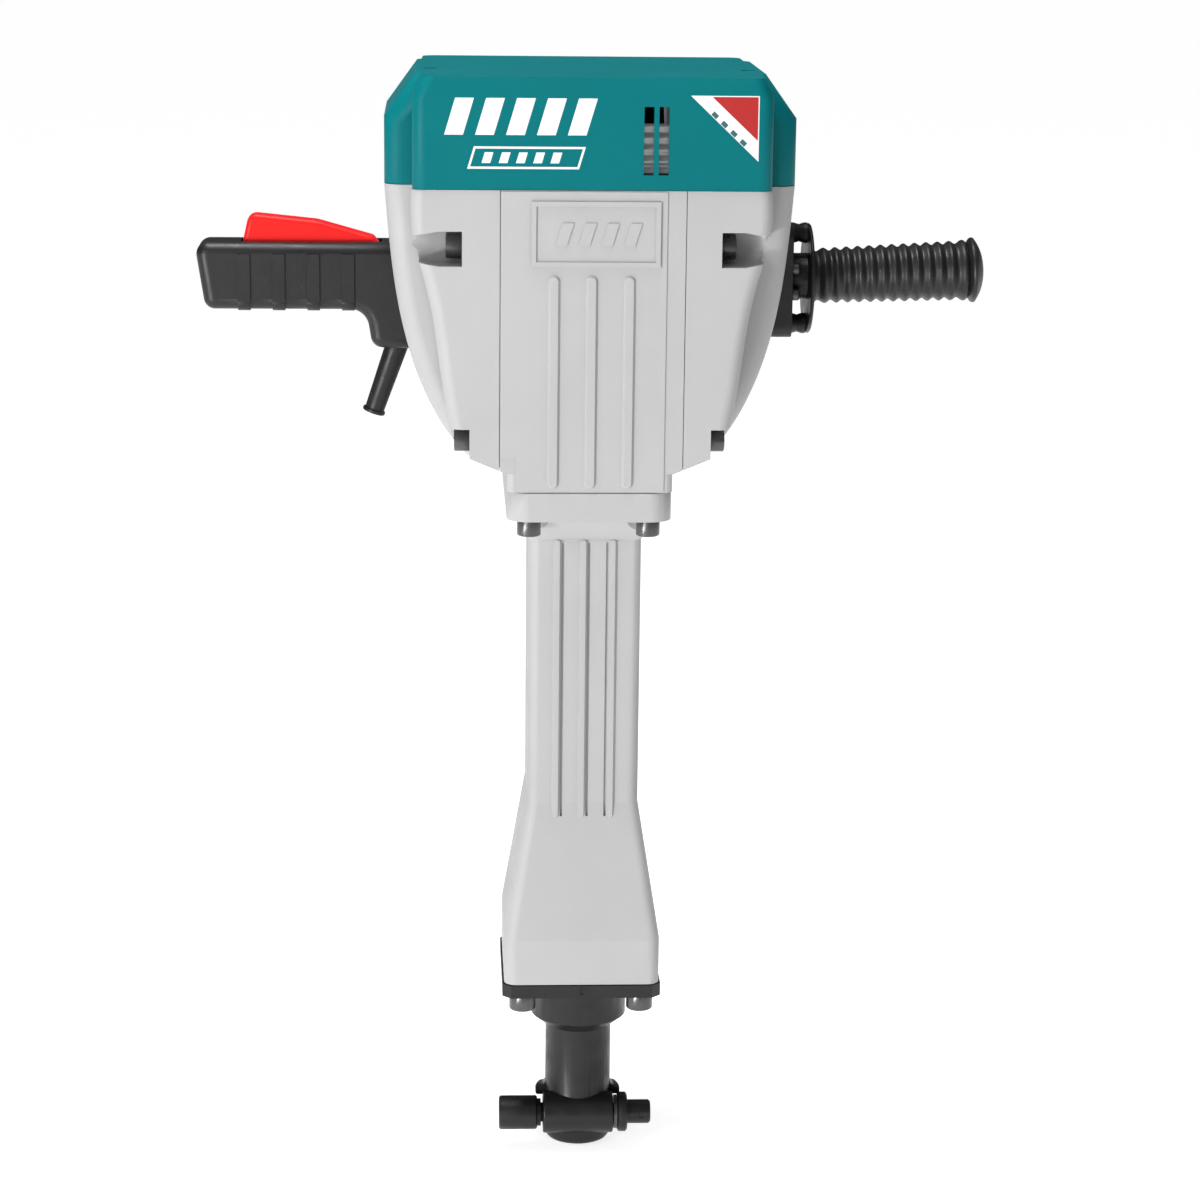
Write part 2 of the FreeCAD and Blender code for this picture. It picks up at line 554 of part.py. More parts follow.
def nose_holder():
    """Black flange and tube that hold the tool, with a cross tube for the retaining pin."""
    flange = box(-60, 60, -58.5, 58.5, FLANGE_Z, BLOCK_Z - 1.0)
    flange = flange.makeChamfer(6.5, [e for e in flange.Edges if is_vertical(e)])
    neck = turned_z([(0, 0), (21.4, 0), (23.4, 0.7), (24.7, 2.3), (25.25, 4.8), (25.25, 94), (36.5, 103),
                     (36.5, FLANGE_Z + 1), (0, FLANGE_Z + 1)])
    cross = cyl_x(16.0, -27.5, CROSS_END_X, LOCK_Y, LOCK_Z)
    cross = cross.makeFillet(1.5, [e for e in cross.Edges if e.Curve.TypeId == "Part::GeomCircle"])
    ears = turned_z([(20.0, 34.5), (32.0, 34.5), (33.0, 35.5), (33.0, 38.6), (32.0, 39.6), (29.5, 40.2),
                     (27.3, 41.6), (26.0, 43.4), (25.2, 46.0), (20.0, 46.0)])
    ears = ears.common(box(-40, 40, -4.5, 13.0, 30.0, 50.0))
    body = fuse([flange, neck, cross, ears])
    body = body.cut(cyl_z(21.0, -1, BLOCK_Z + 1))
    body = body.cut(cyl_x(7.5 + RUNNING, -40, 40, LOCK_Y, LOCK_Z))
    body = body.cut(cyl_x(LOCK_WASHER_R + 0.2, LOCK_SPRING_X, 40, LOCK_Y, LOCK_Z))
    for sx in (-1, 1):
        for sy in (-1, 1):
            body = body.cut(cyl_z(M12_R, FLANGE_Z - 1, BLOCK_Z, sx * NOSE_BOLT_XY, sy * NOSE_BOLT_XY))
    mark = box(-1.2, 1.2, -59.5, -57.7, FLANGE_Z + 3, BLOCK_Z)
    return body.cut(mark).removeSplitter()


def nose_bolts():
    return [socket_screw_down(sx * NOSE_BOLT_XY, sy * NOSE_BOLT_XY, FLANGE_Z, 10.0, 12.5, M12_R, 38.0)
            for sx in (-1, 1) for sy in (-1, 1)]


def nose_gasket():
    gasket = box(-59, 59, -57.5, 57.5, BLOCK_Z - 1.0, BLOCK_Z)
    gasket = gasket.makeChamfer(6.5, [e for e in gasket.Edges if is_vertical(e)])
    gasket = gasket.cut(cyl_z(42.0, 100, 200))
    for sx in (-1, 1):
        for sy in (-1, 1):
            gasket = gasket.cut(cyl_z(M12_R, 100, 200, sx * NOSE_BOLT_XY, sy * NOSE_BOLT_XY))
    return gasket


def tool_sleeve():
    sleeve = turned_z([(0, 2.0), (19.5, 2.0), (21.0, 4.0), (21.0, HEX_DEPTH - 2), (0, HEX_DEPTH - 2)])
    sleeve = sleeve.cut(hexagon_prism(HEX_FLATS, 0, 200))
    sleeve = sleeve.cut(Part.makeCone(19.4, 15.4, 6.0, V(0, 0, 1.0), V(0, 0, 1)))
    return sleeve.cut(cyl_x(7.5 + RUNNING, -40, 40, LOCK_Y, LOCK_Z))


def guide_sleeve():
    """Guides the impact bolt inside the barrel's lower block."""
    return turned_z([(23.0 + RUNNING, 172.0), (23.0 + RUNNING, 253.0), (31.0, 253.0), (31.0, 262.0),
                     (LINER_R, 262.0), (LINER_R, 270.0), (42.0, 270.0), (42.0, BLOCK_Z), (23.0, BLOCK_Z),
                     (23.0, 160.0), (15.2, 164.0), (15.2, 172.0)])


def damper_ring():
    return turned_z([(18.2, 253.0), (31.0, 253.0), (31.0, 262.0), (19.5, 262.0), (18.2, 260.5)])


def nose_seal():
    return turned_z([(15.2, 152.0), (17.0, 150.5), (23.0, 150.5), (23.0, 160.0), (17.5, 160.0), (15.2, 158.0)])


def impact_bolt():
    return turned_z([(0, 152.5), (13.0, 152.5), (15.0, 154.5), (15.0, 172.0), (21.5, 172.0), (23.0, 173.5),
                     (23.0, 233.5), (21.5, 235.0), (17.5, 238.0), (17.5, 286.0), (14.0, 290.0), (0, 290.0)])


# ---------------------------------------------------------------- striking train
def cylinder_liner():
    liner = ring_z(LINER_R, BORE_R, 262.0, 590.0)
    for i in range(4):
        a = math.radians(45 + 90 * i)
        liner = liner.cut(Part.makeCylinder(2.5, 20, V(20 * math.cos(a), 20 * math.sin(a), 440),
                                            V(math.cos(a), math.sin(a), 0)))
    return liner


def striker():
    r = BORE_R - RUNNING
    body = turned_z([(0, 290.0), (17.0, 290.0), (19.0, 293.0), (r - 2, 300.0), (r, 304.0), (r, 314.0),
                     (r - 2.6, 314.0), (r - 2.6, 318.0), (r, 318.0), (r, 358.0), (r - 2.6, 358.0),
                     (r - 2.6, 362.0), (r, 362.0), (r, 377.0), (r - 3, 380.0), (0, 380.0)])
    return body


def striker_rings():
    r = BORE_R - RUNNING
    return [ring_z(r, r - 2.6, z, z + 4.0) for z in (314.0, 358.0)]


PISTON_LOW = PIN_Z - 32.0
PISTON_TOP = PIN_Z + 23.0


def piston():
    r = BORE_R - RUNNING
    body = turned_z([(0, PISTON_LOW), (r - 1, PISTON_LOW), (r, PISTON_LOW + 1), (r, PISTON_LOW + 6),
                     (r - 3, PISTON_LOW + 6), (r - 3, PISTON_LOW + 10), (r, PISTON_LOW + 10),
                     (r, PISTON_TOP - 1), (r - 1, PISTON_TOP), (0, PISTON_TOP)])
    slot = box(-9.5, 9.5, -21.0, 21.0, PIN_Z - 14.5, PISTON_TOP + 1)
    return body.cut(slot).cut(cyl_x(7.0, -23.0, 23.0, 0, PIN_Z))


def connecting_rod():
    big_z = CRANK_Z - CRANK_R
    shank = Part.Face(Part.makePolygon([
        V(-6, -8, PIN_Z), V(-6, 8, PIN_Z), V(-6, 10, big_z), V(-6, -10, big_z), V(-6, -8, PIN_Z)]))
    body = fuse([cyl_x(12.5, -8.5, 8.5, 0, PIN_Z), cyl_x(19.0, -8.0, 8.0, 0, big_z),
                 shank.extrude(V(12, 0, 0))])
    for sx in (-1, 1):
        body = body.cut(box(min(sx * 3.5, sx * 7), max(sx * 3.5, sx * 7), -4.5, 4.5, PIN_Z + 17, big_z - 23))
    return body.cut(cyl_x(7.0 + RUNNING, -20, 20, 0, PIN_Z)).cut(cyl_x(11.0, -20, 20, 0, big_z))


def crank_disc():
    """Crankshaft: round disc with a seat for the crank pin and a matching balance pocket, and its journal."""
    disc = cyl_x(42.0, 8.0, 20.0, 0, CRANK_Z)
    journal = fuse([cyl_x(16.0, 20.0, 24.0, 0, CRANK_Z), cyl_x(12.5, 24.0, 76.0, 0, CRANK_Z),
                    cyl_x(10.0, 76.0, 93.0, 0, CRANK_Z)])
    body = fuse([disc, journal])
    for sz in (-1, 1):
        body = body.cut(cyl_x(11.0, 8.0 - 1, 20.0 + 1, 0, CRANK_Z + sz * CRANK_R).common(
            box(7.9, 12.0, -50, 50, CRANK_Z - 60, CRANK_Z + 60)))
    return body


# ---------------------------------------------------------------- nose lock
def lock_pin():
    knob = turned_x([(-61.6, 0), (-61.6, 11.9), (-60.4, 13.1), (-33.2, 13.1), (-32.0, 11.9), (-32.0, 10.6),
                     (-29.2, 10.6), (-29.2, 0)], LOCK_Y, LOCK_Z)
    pin = cyl_x(7.5, -50.0, 55.6, LOCK_Y, LOCK_Z).fuse(knob)
    # a hollow on the tool's side leaves the hexagonal socket free until the pin is turned
    return pin.cut(cyl_z(20.0, 0, 50)).cut(lock_roll_pin())


def lock_pin_collar():
    collar = turned_x([(COLLAR_X, 7.5), (COLLAR_X, 13.8), (COLLAR_X + 1.3, 15.3), (COLLAR_X + 6.3, 15.3),
                       (COLLAR_X + 7.6, 13.8), (COLLAR_X + 7.6, 9.25), (54.6, 9.25), (56.0, 8.0), (56.0, 7.5)],
                      LOCK_Y, LOCK_Z)
    return collar.cut(cyl_y(2.0, -40, 10, 49.0, LOCK_Z))


def lock_roll_pin():
    return cyl_y(2.0, LOCK_Y - 8.4, LOCK_Y + 8.4, 49.0, LOCK_Z)


def coil_x(r, wire_r, x0, x1, turns, y, z):
    """Compression spring along X with the given mean radius."""
    pitch = (x1 - x0 - 2 * wire_r) / turns
    helix = Part.makeHelix(pitch, x1 - x0 - 2 * wire_r, r)
    profile = Part.Wire([Part.Circle(V(r, 0, 0), V(0, 1, 0), wire_r).toShape()])
    spring = Part.Wire(helix).makePipeShell([profile], True, True)
    return to_x(spring, x0 + wire_r, y, z)


def coil_z(r, wire_r, x, y, z0, z1, turns):
    pitch = (z1 - z0 - 2 * wire_r) / turns
    helix = Part.makeHelix(pitch, z1 - z0 - 2 * wire_r, r)
    profile = Part.Wire([Part.Circle(V(r, 0, 0), V(0, 1, 0), wire_r).toShape()])
    spring = Part.Wire(helix).makePipeShell([profile], True, True)
    spring.translate(V(x, y, z0 + wire_r))
    return spring


# ---------------------------------------------------------------- motor and gears
def bearing(x0, x1, r_out, r_in, y, z):
    """Ball bearing: outer ring, inner ring and balls, as one row of separate solids."""
    mid = (r_out + r_in) / 2
    ball_r = (r_out - r_in) * 0.24
    groove = Part.makeTorus(mid, ball_r, V((x0 + x1) / 2, y, z), V(1, 0, 0))
    outer = ring_x(r_out, mid + ball_r * 0.6, x0, x1, y, z).cut(groove)
    inner = ring_x(mid - ball_r * 0.6, r_in + RUNNING, x0, x1, y, z).cut(groove)
    count = int(2 * math.pi * mid / (ball_r * 2.8))
    balls = []
    for i in range(count):
        a = 2 * math.pi * i / count
        balls.append(Part.makeSphere(ball_r, V((x0 + x1) / 2, y + mid * math.cos(a), z + mid * math.sin(a))))
    return [outer, inner] + balls


STATOR_X = (-62.0, 8.0)
FAN_X = (30.0, 54.0)


def stator_core():
    core = ring_x(54.0, 30.8, STATOR_X[0], STATOR_X[1], 0, MOTOR_Z)
    windows = []
    for sy in (-1, 1):
        window = ring_x(46.0, 36.0, -80, 30, 0, MOTOR_Z)
        wedge = front_wedge(sy, 52.0)
        windows.append(window.common(wedge))
    return core.cut(fuse(windows))


def front_wedge(sy, half_angle):
    a = math.radians(half_angle)
    far = 90.0
    points = [V(-90, 0, MOTOR_Z), V(-90, sy * far * math.cos(a), MOTOR_Z + far * math.sin(a)),
              V(-90, sy * far * math.cos(a), MOTOR_Z - far * math.sin(a)), V(-90, 0, MOTOR_Z)]
    return Part.Face(Part.makePolygon(points)).extrude(V(150, 0, 0))


def stator_windings():
    coils = []
    for sy in (-1, 1):
        wedge = front_wedge(sy, 52.0)
        run = ring_x(46.0, 36.0, STATOR_X[0] - 11, STATOR_X[1] + 11, 0, MOTOR_Z).common(wedge)
        coils.append(run)
    for x0, x1 in ((STATOR_X[0] - 13, STATOR_X[0] - 1), (STATOR_X[1] + 1, STATOR_X[1] + 13)):
        coils.append(ring_x(48.0, 34.0, x0, x1, 0, MOTOR_Z))
    return fuse(coils)


def armature_shaft():
    pinion = to_x(spur_gear(STAGE1_MODULE, MOTOR_TEETH, 18.0, PINION_PHASE), 90.0, 0, MOTOR_Z)
    stubs = turned_x([(-124.0, 0), (-124.0, 6.0), (-110.0, 6.0), (-110.0, 8.0), (62.0, 8.0), (62.0, 7.5),
                      (80.0, 7.5), (80.0, 8.0), (90.0, 8.0), (90.0, 0)], 0, MOTOR_Z)
    return fuse([stubs, pinion])


def armature_core():
    core = ring_x(30.0, 8.0, STATOR_X[0], STATOR_X[1], 0, MOTOR_Z)
    slots = []
    for i in range(14):
        a = 2 * math.pi * i / 14
        slot = box(STATOR_X[0] - 1, STATOR_X[1] + 1, -1.3, 1.3, 20.0, 32.0)
        slot.Placement = FreeCAD.Placement(V(0, 0, MOTOR_Z), FreeCAD.Rotation(V(1, 0, 0), math.degrees(a)))
        slots.append(slot)
    return core.cut(Part.makeCompound(slots))


def armature_windings():
    ends = []
    for x0, x1, tilt in ((STATOR_X[0] - 14, STATOR_X[0], 1), (STATOR_X[1], STATOR_X[1] + 12, -1)):
        thin, thick = (24.0, 28.5) if tilt > 0 else (28.5, 24.0)
        ends.append(turned_x([(x0, 8.0), (x0, thin), (x0 + 3, thin + 2), (x1 - 3, thick), (x1, thick),
                              (x1, 8.0)], 0, MOTOR_Z))
    return ends


def commutator():
    body = ring_x(19.0, 8.0, -104.0, -78.0, 0, MOTOR_Z)
    slots = []
    for i in range(28):
        slot = box(-101.0, -77.0, -0.35, 0.35, 17.0, 20.0)
        slot.Placement = FreeCAD.Placement(V(0, 0, MOTOR_Z), FreeCAD.Rotation(V(1, 0, 0), 360.0 * i / 28))
        slots.append(slot)
    return body.cut(Part.makeCompound(slots))


def cooling_fan():
    x0, x1 = FAN_X
    hub = turned_x([(x0, 8.0), (x0, 14.0), (x1 - 5, 16.0), (x1 - 3, 46.0), (x1, 46.0), (x1, 8.0)], 0, MOTOR_Z)
    blades = []
    for i in range(12):
        blade = box(x0 + 1.5, x1 - 2, -1.0, 1.0, 20.0, 46.0)
        blade.Placement = FreeCAD.Placement(V(0, 4.0, 8.0), FreeCAD.Rotation(V(1, 0, 0), 22))
        blade = blade.common(cyl_x(46.0, x0, x1, 0, 0))
        blade.rotate(V(0, 0, 0), V(1, 0, 0), 30.0 * i)
        blade.translate(V(0, 0, MOTOR_Z))
        blades.append(blade)
    return fuse([hub] + blades)


def brush_holders():
    holders = []
    for sy in (-1, 1):
        sleeve = box(-98.0, -84.0, min(sy * 21, sy * 56), max(sy * 21, sy * 56), MOTOR_Z - 9, MOTOR_Z + 9)
        hole = box(-96.0, -86.0, min(sy * 20, sy * 53), max(sy * 20, sy * 53), MOTOR_Z - 6.5, MOTOR_Z + 6.5)
        foot = box(-104.0, -78.0, min(sy * 44, sy * 52), max(sy * 44, sy * 52), MOTOR_Z - 22, MOTOR_Z - 9)
        holders.append(sleeve.fuse(foot).cut(hole).removeSplitter())
    return holders


def carbon_brushes():
    brushes = []
    for sy in (-1, 1):
        brush = box(-95.9, -86.1, min(sy * 19.2, sy * 40), max(sy * 19.2, sy * 40),
                    MOTOR_Z - 6.4, MOTOR_Z + 6.4)
        brushes.append(brush.cut(cyl_x(19.2, -110, -70, 0, MOTOR_Z)))
    return brushes


def gear_case_wall():
    """Plate that closes the crankcase against the gear cover and carries three bearings."""
    plate = box(RIGHT_SEAM - 7.0, RIGHT_SEAM, -99.0, 99.0, 560.0, 818.0)
    plate = plate.common(box(0, 100, -99, 99, 560, CAP_Z).fuse(
        cyl_x(60.0, 0, 100, 0, MOTOR_Z)))
    rims = [cyl_x(24.0, RIGHT_SEAM - 7, RIGHT_SEAM + 9, 0, MOTOR_Z),
            cyl_x(22.0, RIGHT_SEAM - 7, RIGHT_SEAM + 7, MIDDLE_Y, MIDDLE_Z),
            cyl_x(30.0, RIGHT_SEAM - 7, RIGHT_SEAM + 5, 0, CRANK_Z)]
    plate = fuse([plate] + rims)
    plate = plate.cut(cyl_x(17.5, 64.5, 90, 0, MOTOR_Z)).cut(cyl_x(10.0, 50, 90, 0, MOTOR_Z))
    plate = plate.cut(cyl_x(16.0, 65.5, 90, MIDDLE_Y, MIDDLE_Z))
    for sy in (-1, 1):
        plate = plate.cut(cyl_x(M10_R, RIGHT_SEAM - 8, RIGHT_SEAM + 1, sy * UPPER_BOLT_Y, UPPER_BOLT_Z))
    return plate.cut(cyl_x(23.5, 50, 90, 0, CRANK_Z)).removeSplitter()


# angles about X, from +Y towards +Z: each gear has a tooth or a gap on the line between the two axes
CRANK_PHASE = math.degrees(math.atan2(MIDDLE_Z - CRANK_Z, MIDDLE_Y))
SMALL_PHASE = CRANK_PHASE + 180.0 + 180.0 / SMALL_TEETH
LARGE_PHASE = math.degrees(math.atan2(MOTOR_Z - MIDDLE_Z, -MIDDLE_Y))
PINION_PHASE = LARGE_PHASE + 180.0 + 180.0 / MOTOR_TEETH


def crank_gear():
    gear = to_x(spur_gear(STAGE2_MODULE, CRANK_TEETH, 13.0, CRANK_PHASE), 78.0, 0, CRANK_Z)
    gear = gear.cut(ring_x(35.0, 18.0, 77.0, 81.0, 0, CRANK_Z)).cut(ring_x(35.0, 18.0, 88.0, 92.0, 0, CRANK_Z))
    return gear.cut(cyl_x(10.0, 70, 100, 0, CRANK_Z))


def intermediate_gear():
    gear = to_x(spur_gear(STAGE1_MODULE, LARGE_TEETH, 12.0, LARGE_PHASE), 94.0, MIDDLE_Y, MIDDLE_Z)
    gear = gear.cut(ring_x(34.0, 16.0, 93.0, 96.5, MIDDLE_Y, MIDDLE_Z))
    gear = gear.cut(ring_x(34.0, 16.0, 103.5, 107.0, MIDDLE_Y, MIDDLE_Z))
    return gear.cut(cyl_x(9.0, 90, 110, MIDDLE_Y, MIDDLE_Z))


def intermediate_shaft():
    pinion = to_x(spur_gear(STAGE2_MODULE, SMALL_TEETH, 17.0, SMALL_PHASE), 77.0, MIDDLE_Y, MIDDLE_Z)
    shaft = turned_x([(66.0, 0), (66.0, 7.5), (77.0, 7.5), (77.0, 9.0), (106.0, 9.0), (106.0, 7.5),
                      (120.0, 7.5), (120.0, 0)], MIDDLE_Y, MIDDLE_Z)
    return fuse([pinion, shaft])


def gear_cover_boss():
    """Boss inside the gear cover for the intermediate shaft's outer bearing."""
    boss = cyl_x(21.0, 109.0, 150.0, MIDDLE_Y, MIDDLE_Z)
    return boss.cut(cyl_x(16.0, 100.0, 120.5, MIDDLE_Y, MIDDLE_Z))


def armature_left_boss():
    """Boss inside the left cover for the armature's outer bearing, joined to its side wall."""
    boss = cyl_x(21.0, -141.0, -111.0, 0, MOTOR_Z).common(box(-200, 0, -100, 100, 0, CAP_Z + 40))
    arm = box(-142.0, -124.5, -21.0, 21.0, 722.0, MOTOR_Z)
    return fuse([boss, arm]).cut(cyl_x(16.0, -123.0, -100.0, 0, MOTOR_Z)).cut(
        cyl_x(8.0, -130, -100, 0, MOTOR_Z))


# ---------------------------------------------------------------- left switch handle
# corners of the switch handle seen from the front, each with the radius that rounds it
HANDLE_OUTLINE = [((-125.0, 702.0), 0.0), ((-285.5, 702.0), 9.0), ((-278.0, 653.0), 8.5),
                  ((-161.0, 653.0), 14.0), ((-156.5, 625.0), 9.0), ((-120.0, 624.0), 0.0)]
SLOT_X = (-252.0, -149.5)   # slot in the top for the lever
HANDLE_SCREWS = ((-268.0, 676.0), (-185.0, 664.0), (-147.0, 655.0))


def handle_solid():
    """Both halves of the switch handle together, solid."""
    body = front_prism([corner for corner, _ in HANDLE_OUTLINE], 21.0)
    for (x, z), radius in HANDLE_OUTLINE:
        if radius > 0.0:
            body = body.makeFillet(radius, [e for e in body.Edges if is_depth_edge_at(e, x, z)])
    long_edges = [e for e in body.Edges if e.BoundBox.YLength < 1.0 and e.BoundBox.XMax < -124.0]
    return body.makeFillet(8.0, long_edges)


def is_depth_edge_at(edge, x, z):
    low = edge.BoundBox
    return low.YLength > 1.0 and abs(low.Center.x - x) < 0.1 and abs(low.Center.z - z) < 0.1


def handle_cavity():
    points = [(-123.0, 698.6), (-275.0, 698.6), (-281.0, 692.0), (-275.5, 661.5), (-271.0, 656.6),
              (-166.0, 656.6), (-157.5, 651.0), (-154.5, 643.0), (-152.0, 630.0), (-123.0, 628.0)]
    return front_prism(points, 17.4)


def handle_bands():
    """Four raised bands round the grip."""
    bands = []
    for i in range(4):
        x = -254.0 + 25.2 * i
        band = box(x, x + 9.0, -22.4, 22.4, 652.2, 694.0)
        band = band.makeFillet(7.0, [e for e in band.Edges if e.BoundBox.XLength > 8.0
                                     and abs(e.BoundBox.ZMax - 652.2) < 1e-3])
        bands.append(band)
    return bands


def handle_shells():
    outer = handle_solid().fuse(handle_bands()).cut(cover_solid(-1))
    ribs = [box(-205.0, -201.0, -18, 18, 655.0, 672.0), box(-262.0, -258.5, -18, 18, 655.0, 699.0)]
    posts = [cyl_y(5.0, -18, 18, x, z) for x, z in HANDLE_SCREWS]
    inside = handle_cavity()
    body = outer.cut(inside).fuse([r.common(outer) for r in ribs + posts])
    body = body.cut(box(SLOT_X[0], SLOT_X[1], -10.0, 10.0, 680.0, 720.0))
    body = body.cut(Part.makeCylinder(8.65, 40.0, along_boot(-20.0), BOOT_DIR))
    body = body.cut(Part.makeCylinder(10.8, 3.4, along_boot(-9.2), BOOT_DIR))
    for x, z in HANDLE_SCREWS:
        body = body.cut(cyl_y(2.0, -17.0, 30, x, z)).cut(cyl_y(4.2, 17.0, 30, x, z))
    body = body.cut(cyl_y(2.5, -19, 19, LEFT_PIVOT[0], LEFT_PIVOT[2]))
    front = body.common(box(-400, 0, -50, 0, 500, 800))
    rear = body.common(box(-400, 0, 0, 50, 500, 800))
    return front, rear


CORD_BORE_R = 5.3
BOOT_LIP_R = 8.5
BOOT_TOP = V(-138.0, 0, 627.0)
BOOT_TILT = math.radians(19.2)
BOOT_DIR = V(-math.sin(BOOT_TILT), 0, -math.cos(BOOT_TILT))


def along_boot(distance):
    return BOOT_TOP + BOOT_DIR * distance


def cord_boot():
    """Tapered strain relief with a lip at its mouth, bored for the cord."""
    stem = Part.makeCone(8.6, 7.2, 60.0, along_boot(-6.0), BOOT_DIR)
    lip = Part.makeCylinder(BOOT_LIP_R, 3.2, along_boot(52.8), BOOT_DIR)
    collar = Part.makeCylinder(10.6, 3.0, along_boot(-9.0), BOOT_DIR)
    boot = fuse([stem, lip, collar])
    boot = boot.makeFillet(1.2, [e for e in boot.Edges if e.Curve.TypeId == "Part::GeomCircle"
                                 and abs(e.Curve.Radius - BOOT_LIP_R) < 1e-3])
    return boot.cut(Part.makeCylinder(CORD_BORE_R, 80.0, along_boot(-20.0), BOOT_DIR)).cut(cover_solid(-1))


# corners of the lever seen from the front, each with the radius that rounds it
LEVER_OUTLINE = [((-251.2, 699.0), 0.0), ((-246.0, 722.0), 7.0), ((-196.5, 717.0), 20.0),
                 ((-155.5, 705.6), 5.0), ((-151.0, 700.0), 0.0), ((-151.2, 689.0), 0.0),
                 ((-163.0, 688.0), 0.0), ((-168.0, 695.0), 0.0), ((-250.0, 695.0), 0.0)]


def trigger_lever():
    solid = front_prism([corner for corner, _ in LEVER_OUTLINE], 9.0)
    for (x, z), radius in LEVER_OUTLINE:
        if radius > 0.0:
            solid = solid.makeFillet(radius, [e for e in solid.Edges if is_depth_edge_at(e, x, z)])
    rim = [e for e in solid.Edges if e.BoundBox.YLength < 1.0 and e.CenterOfMass.z > 701.0]
    solid = solid.makeFillet(3.5, rim)
    return solid.cut(cyl_y(2.5 + RUNNING, -20, 20, LEFT_PIVOT[0], LEFT_PIVOT[2]))


def switch_body():
    body = box(-232.0, -206.0, -11.0, 11.0, 658.0, 683.0)
    tabs = [box(-229.0 + 8 * i, -226.0 + 8 * i, -6.0, 6.0, 657.3, 658.5) for i in range(3)]
    body = fuse([body] + tabs)
    return body.cut(cyl_z(4.0, 668.0, 690.0, -218.0, 0))


def switch_plunger():
    plunger = cyl_z(4.0 - RUNNING, 676.0, 694.6, -218.0, 0)
    return plunger.makeFillet(1.5, [plunger.Edges[0]])


def handle_screws():
    return [socket_screw_y(x, 17.0, z, 4.0, 3.0, 2.0, 33.0, 1) for x, z in HANDLE_SCREWS]


def lever_pivot_pin():
    return cyl_y(2.5, -19.0, 19.0, LEFT_PIVOT[0], LEFT_PIVOT[2])


# ---------------------------------------------------------------- right side handle
BRACKET_X = 151.0           # outer face of the bracket
DISC_X = (163.0, 165.6)
DISC_Z = 675.5
STUD_R = 4.0
DAMPER_Z = (DISC_Z - 33.5, DISC_Z + 33.5)
DAMPER_R = 7.6
BRACKET_BOLTS = [(sy * 20.6, DISC_Z + sz * 9.5) for sy in (-1, 1) for sz in (-1, 1)]
GRIP_START = 3.2            # along the core from the disc's inner side to the grip
GRIP_PITCH = 8.46           # between the waves of the grip
GRIP_CORE_R = 11.0
GRIP_DEEP = 114.0           # how far the core reaches into the grip
GRIP_DIR = V(math.cos(math.radians(GRIP_TILT)), 0, math.sin(math.radians(GRIP_TILT)))


def right_bracket():
    """Two-lobed plate bolted to the gear cover, with a seat for each rubber damper."""
    plate = box(118.0, BRACKET_X, -26.0, 26.0, 634.0, 717.0)
    plate = plate.makeFillet(10.0, [e for e in plate.Edges if e.BoundBox.XLength > 20.0])
    plate = plate.cut(cover_solid(1))
    hollow = box(100.0, BRACKET_X - 6.0, -8.0, 8.0, 655.0, 695.0)
    plate = plate.cut(hollow)
    for z in DAMPER_Z:
        plate = plate.cut(cyl_x(STUD_R, 100.0, 200.0, 0, z))
        plate = plate.cut(cyl_x(DAMPER_R, BRACKET_X - 2.0, 200.0, 0, z))
    for y, z in BRACKET_BOLTS:
        plate = plate.cut(cyl_x(M5_R, 100.0, 200.0, y, z))
    return largest(plate)


def largest(shape):
    return max(shape.Solids, key=lambda s: s.Volume)


def handle_dampers():
    dampers = []
    for z in DAMPER_Z:
        dampers.append(turned_x([(BRACKET_X - 2, STUD_R), (BRACKET_X - 2, DAMPER_R), (BRACKET_X + 2, DAMPER_R),
                                 (BRACKET_X + 6, 6.4), (DISC_X[0] - 2.5, DAMPER_R), (DISC_X[0], DAMPER_R),
                                 (DISC_X[0], STUD_R)], 0, z))
    return dampers


def damper_bolts():
    """Countersunk screws through the disc and the dampers into the bracket."""
    screws = []
    for z in DAMPER_Z:
        screws.append(turned_x([(BRACKET_X - 7.0, 0), (BRACKET_X - 7.0, STUD_R), (DISC_X[1] - 2.3, STUD_R),
                                (DISC_X[1] - 0.2, 6.2), (DISC_X[1] - 0.2, 0)], 0, z))
    return screws


def handle_disc():
    """Round flange of the side handle, with a thin rim and a core tube for the grip."""
    plate = turned_x([(DISC_X[0], 0), (DISC_X[0], 39.6), (DISC_X[0] + 0.9, 40.4), (DISC_X[1] - 0.9, 40.4),
                      (DISC_X[1], 39.6), (DISC_X[1], 0)], 0, DISC_Z)
    neck = cyl_x(17.0, BRACKET_X, DISC_X[1], 0, GRIP_AXIS_Z)
    core = Part.makeCylinder(GRIP_CORE_R, GRIP_START + GRIP_DEEP, V(DISC_X[1] - 2, 0, GRIP_AXIS_Z), GRIP_DIR)
    body = fuse([plate, neck, core])
    for screw in damper_bolts():
        body = body.cut(screw)
    return body


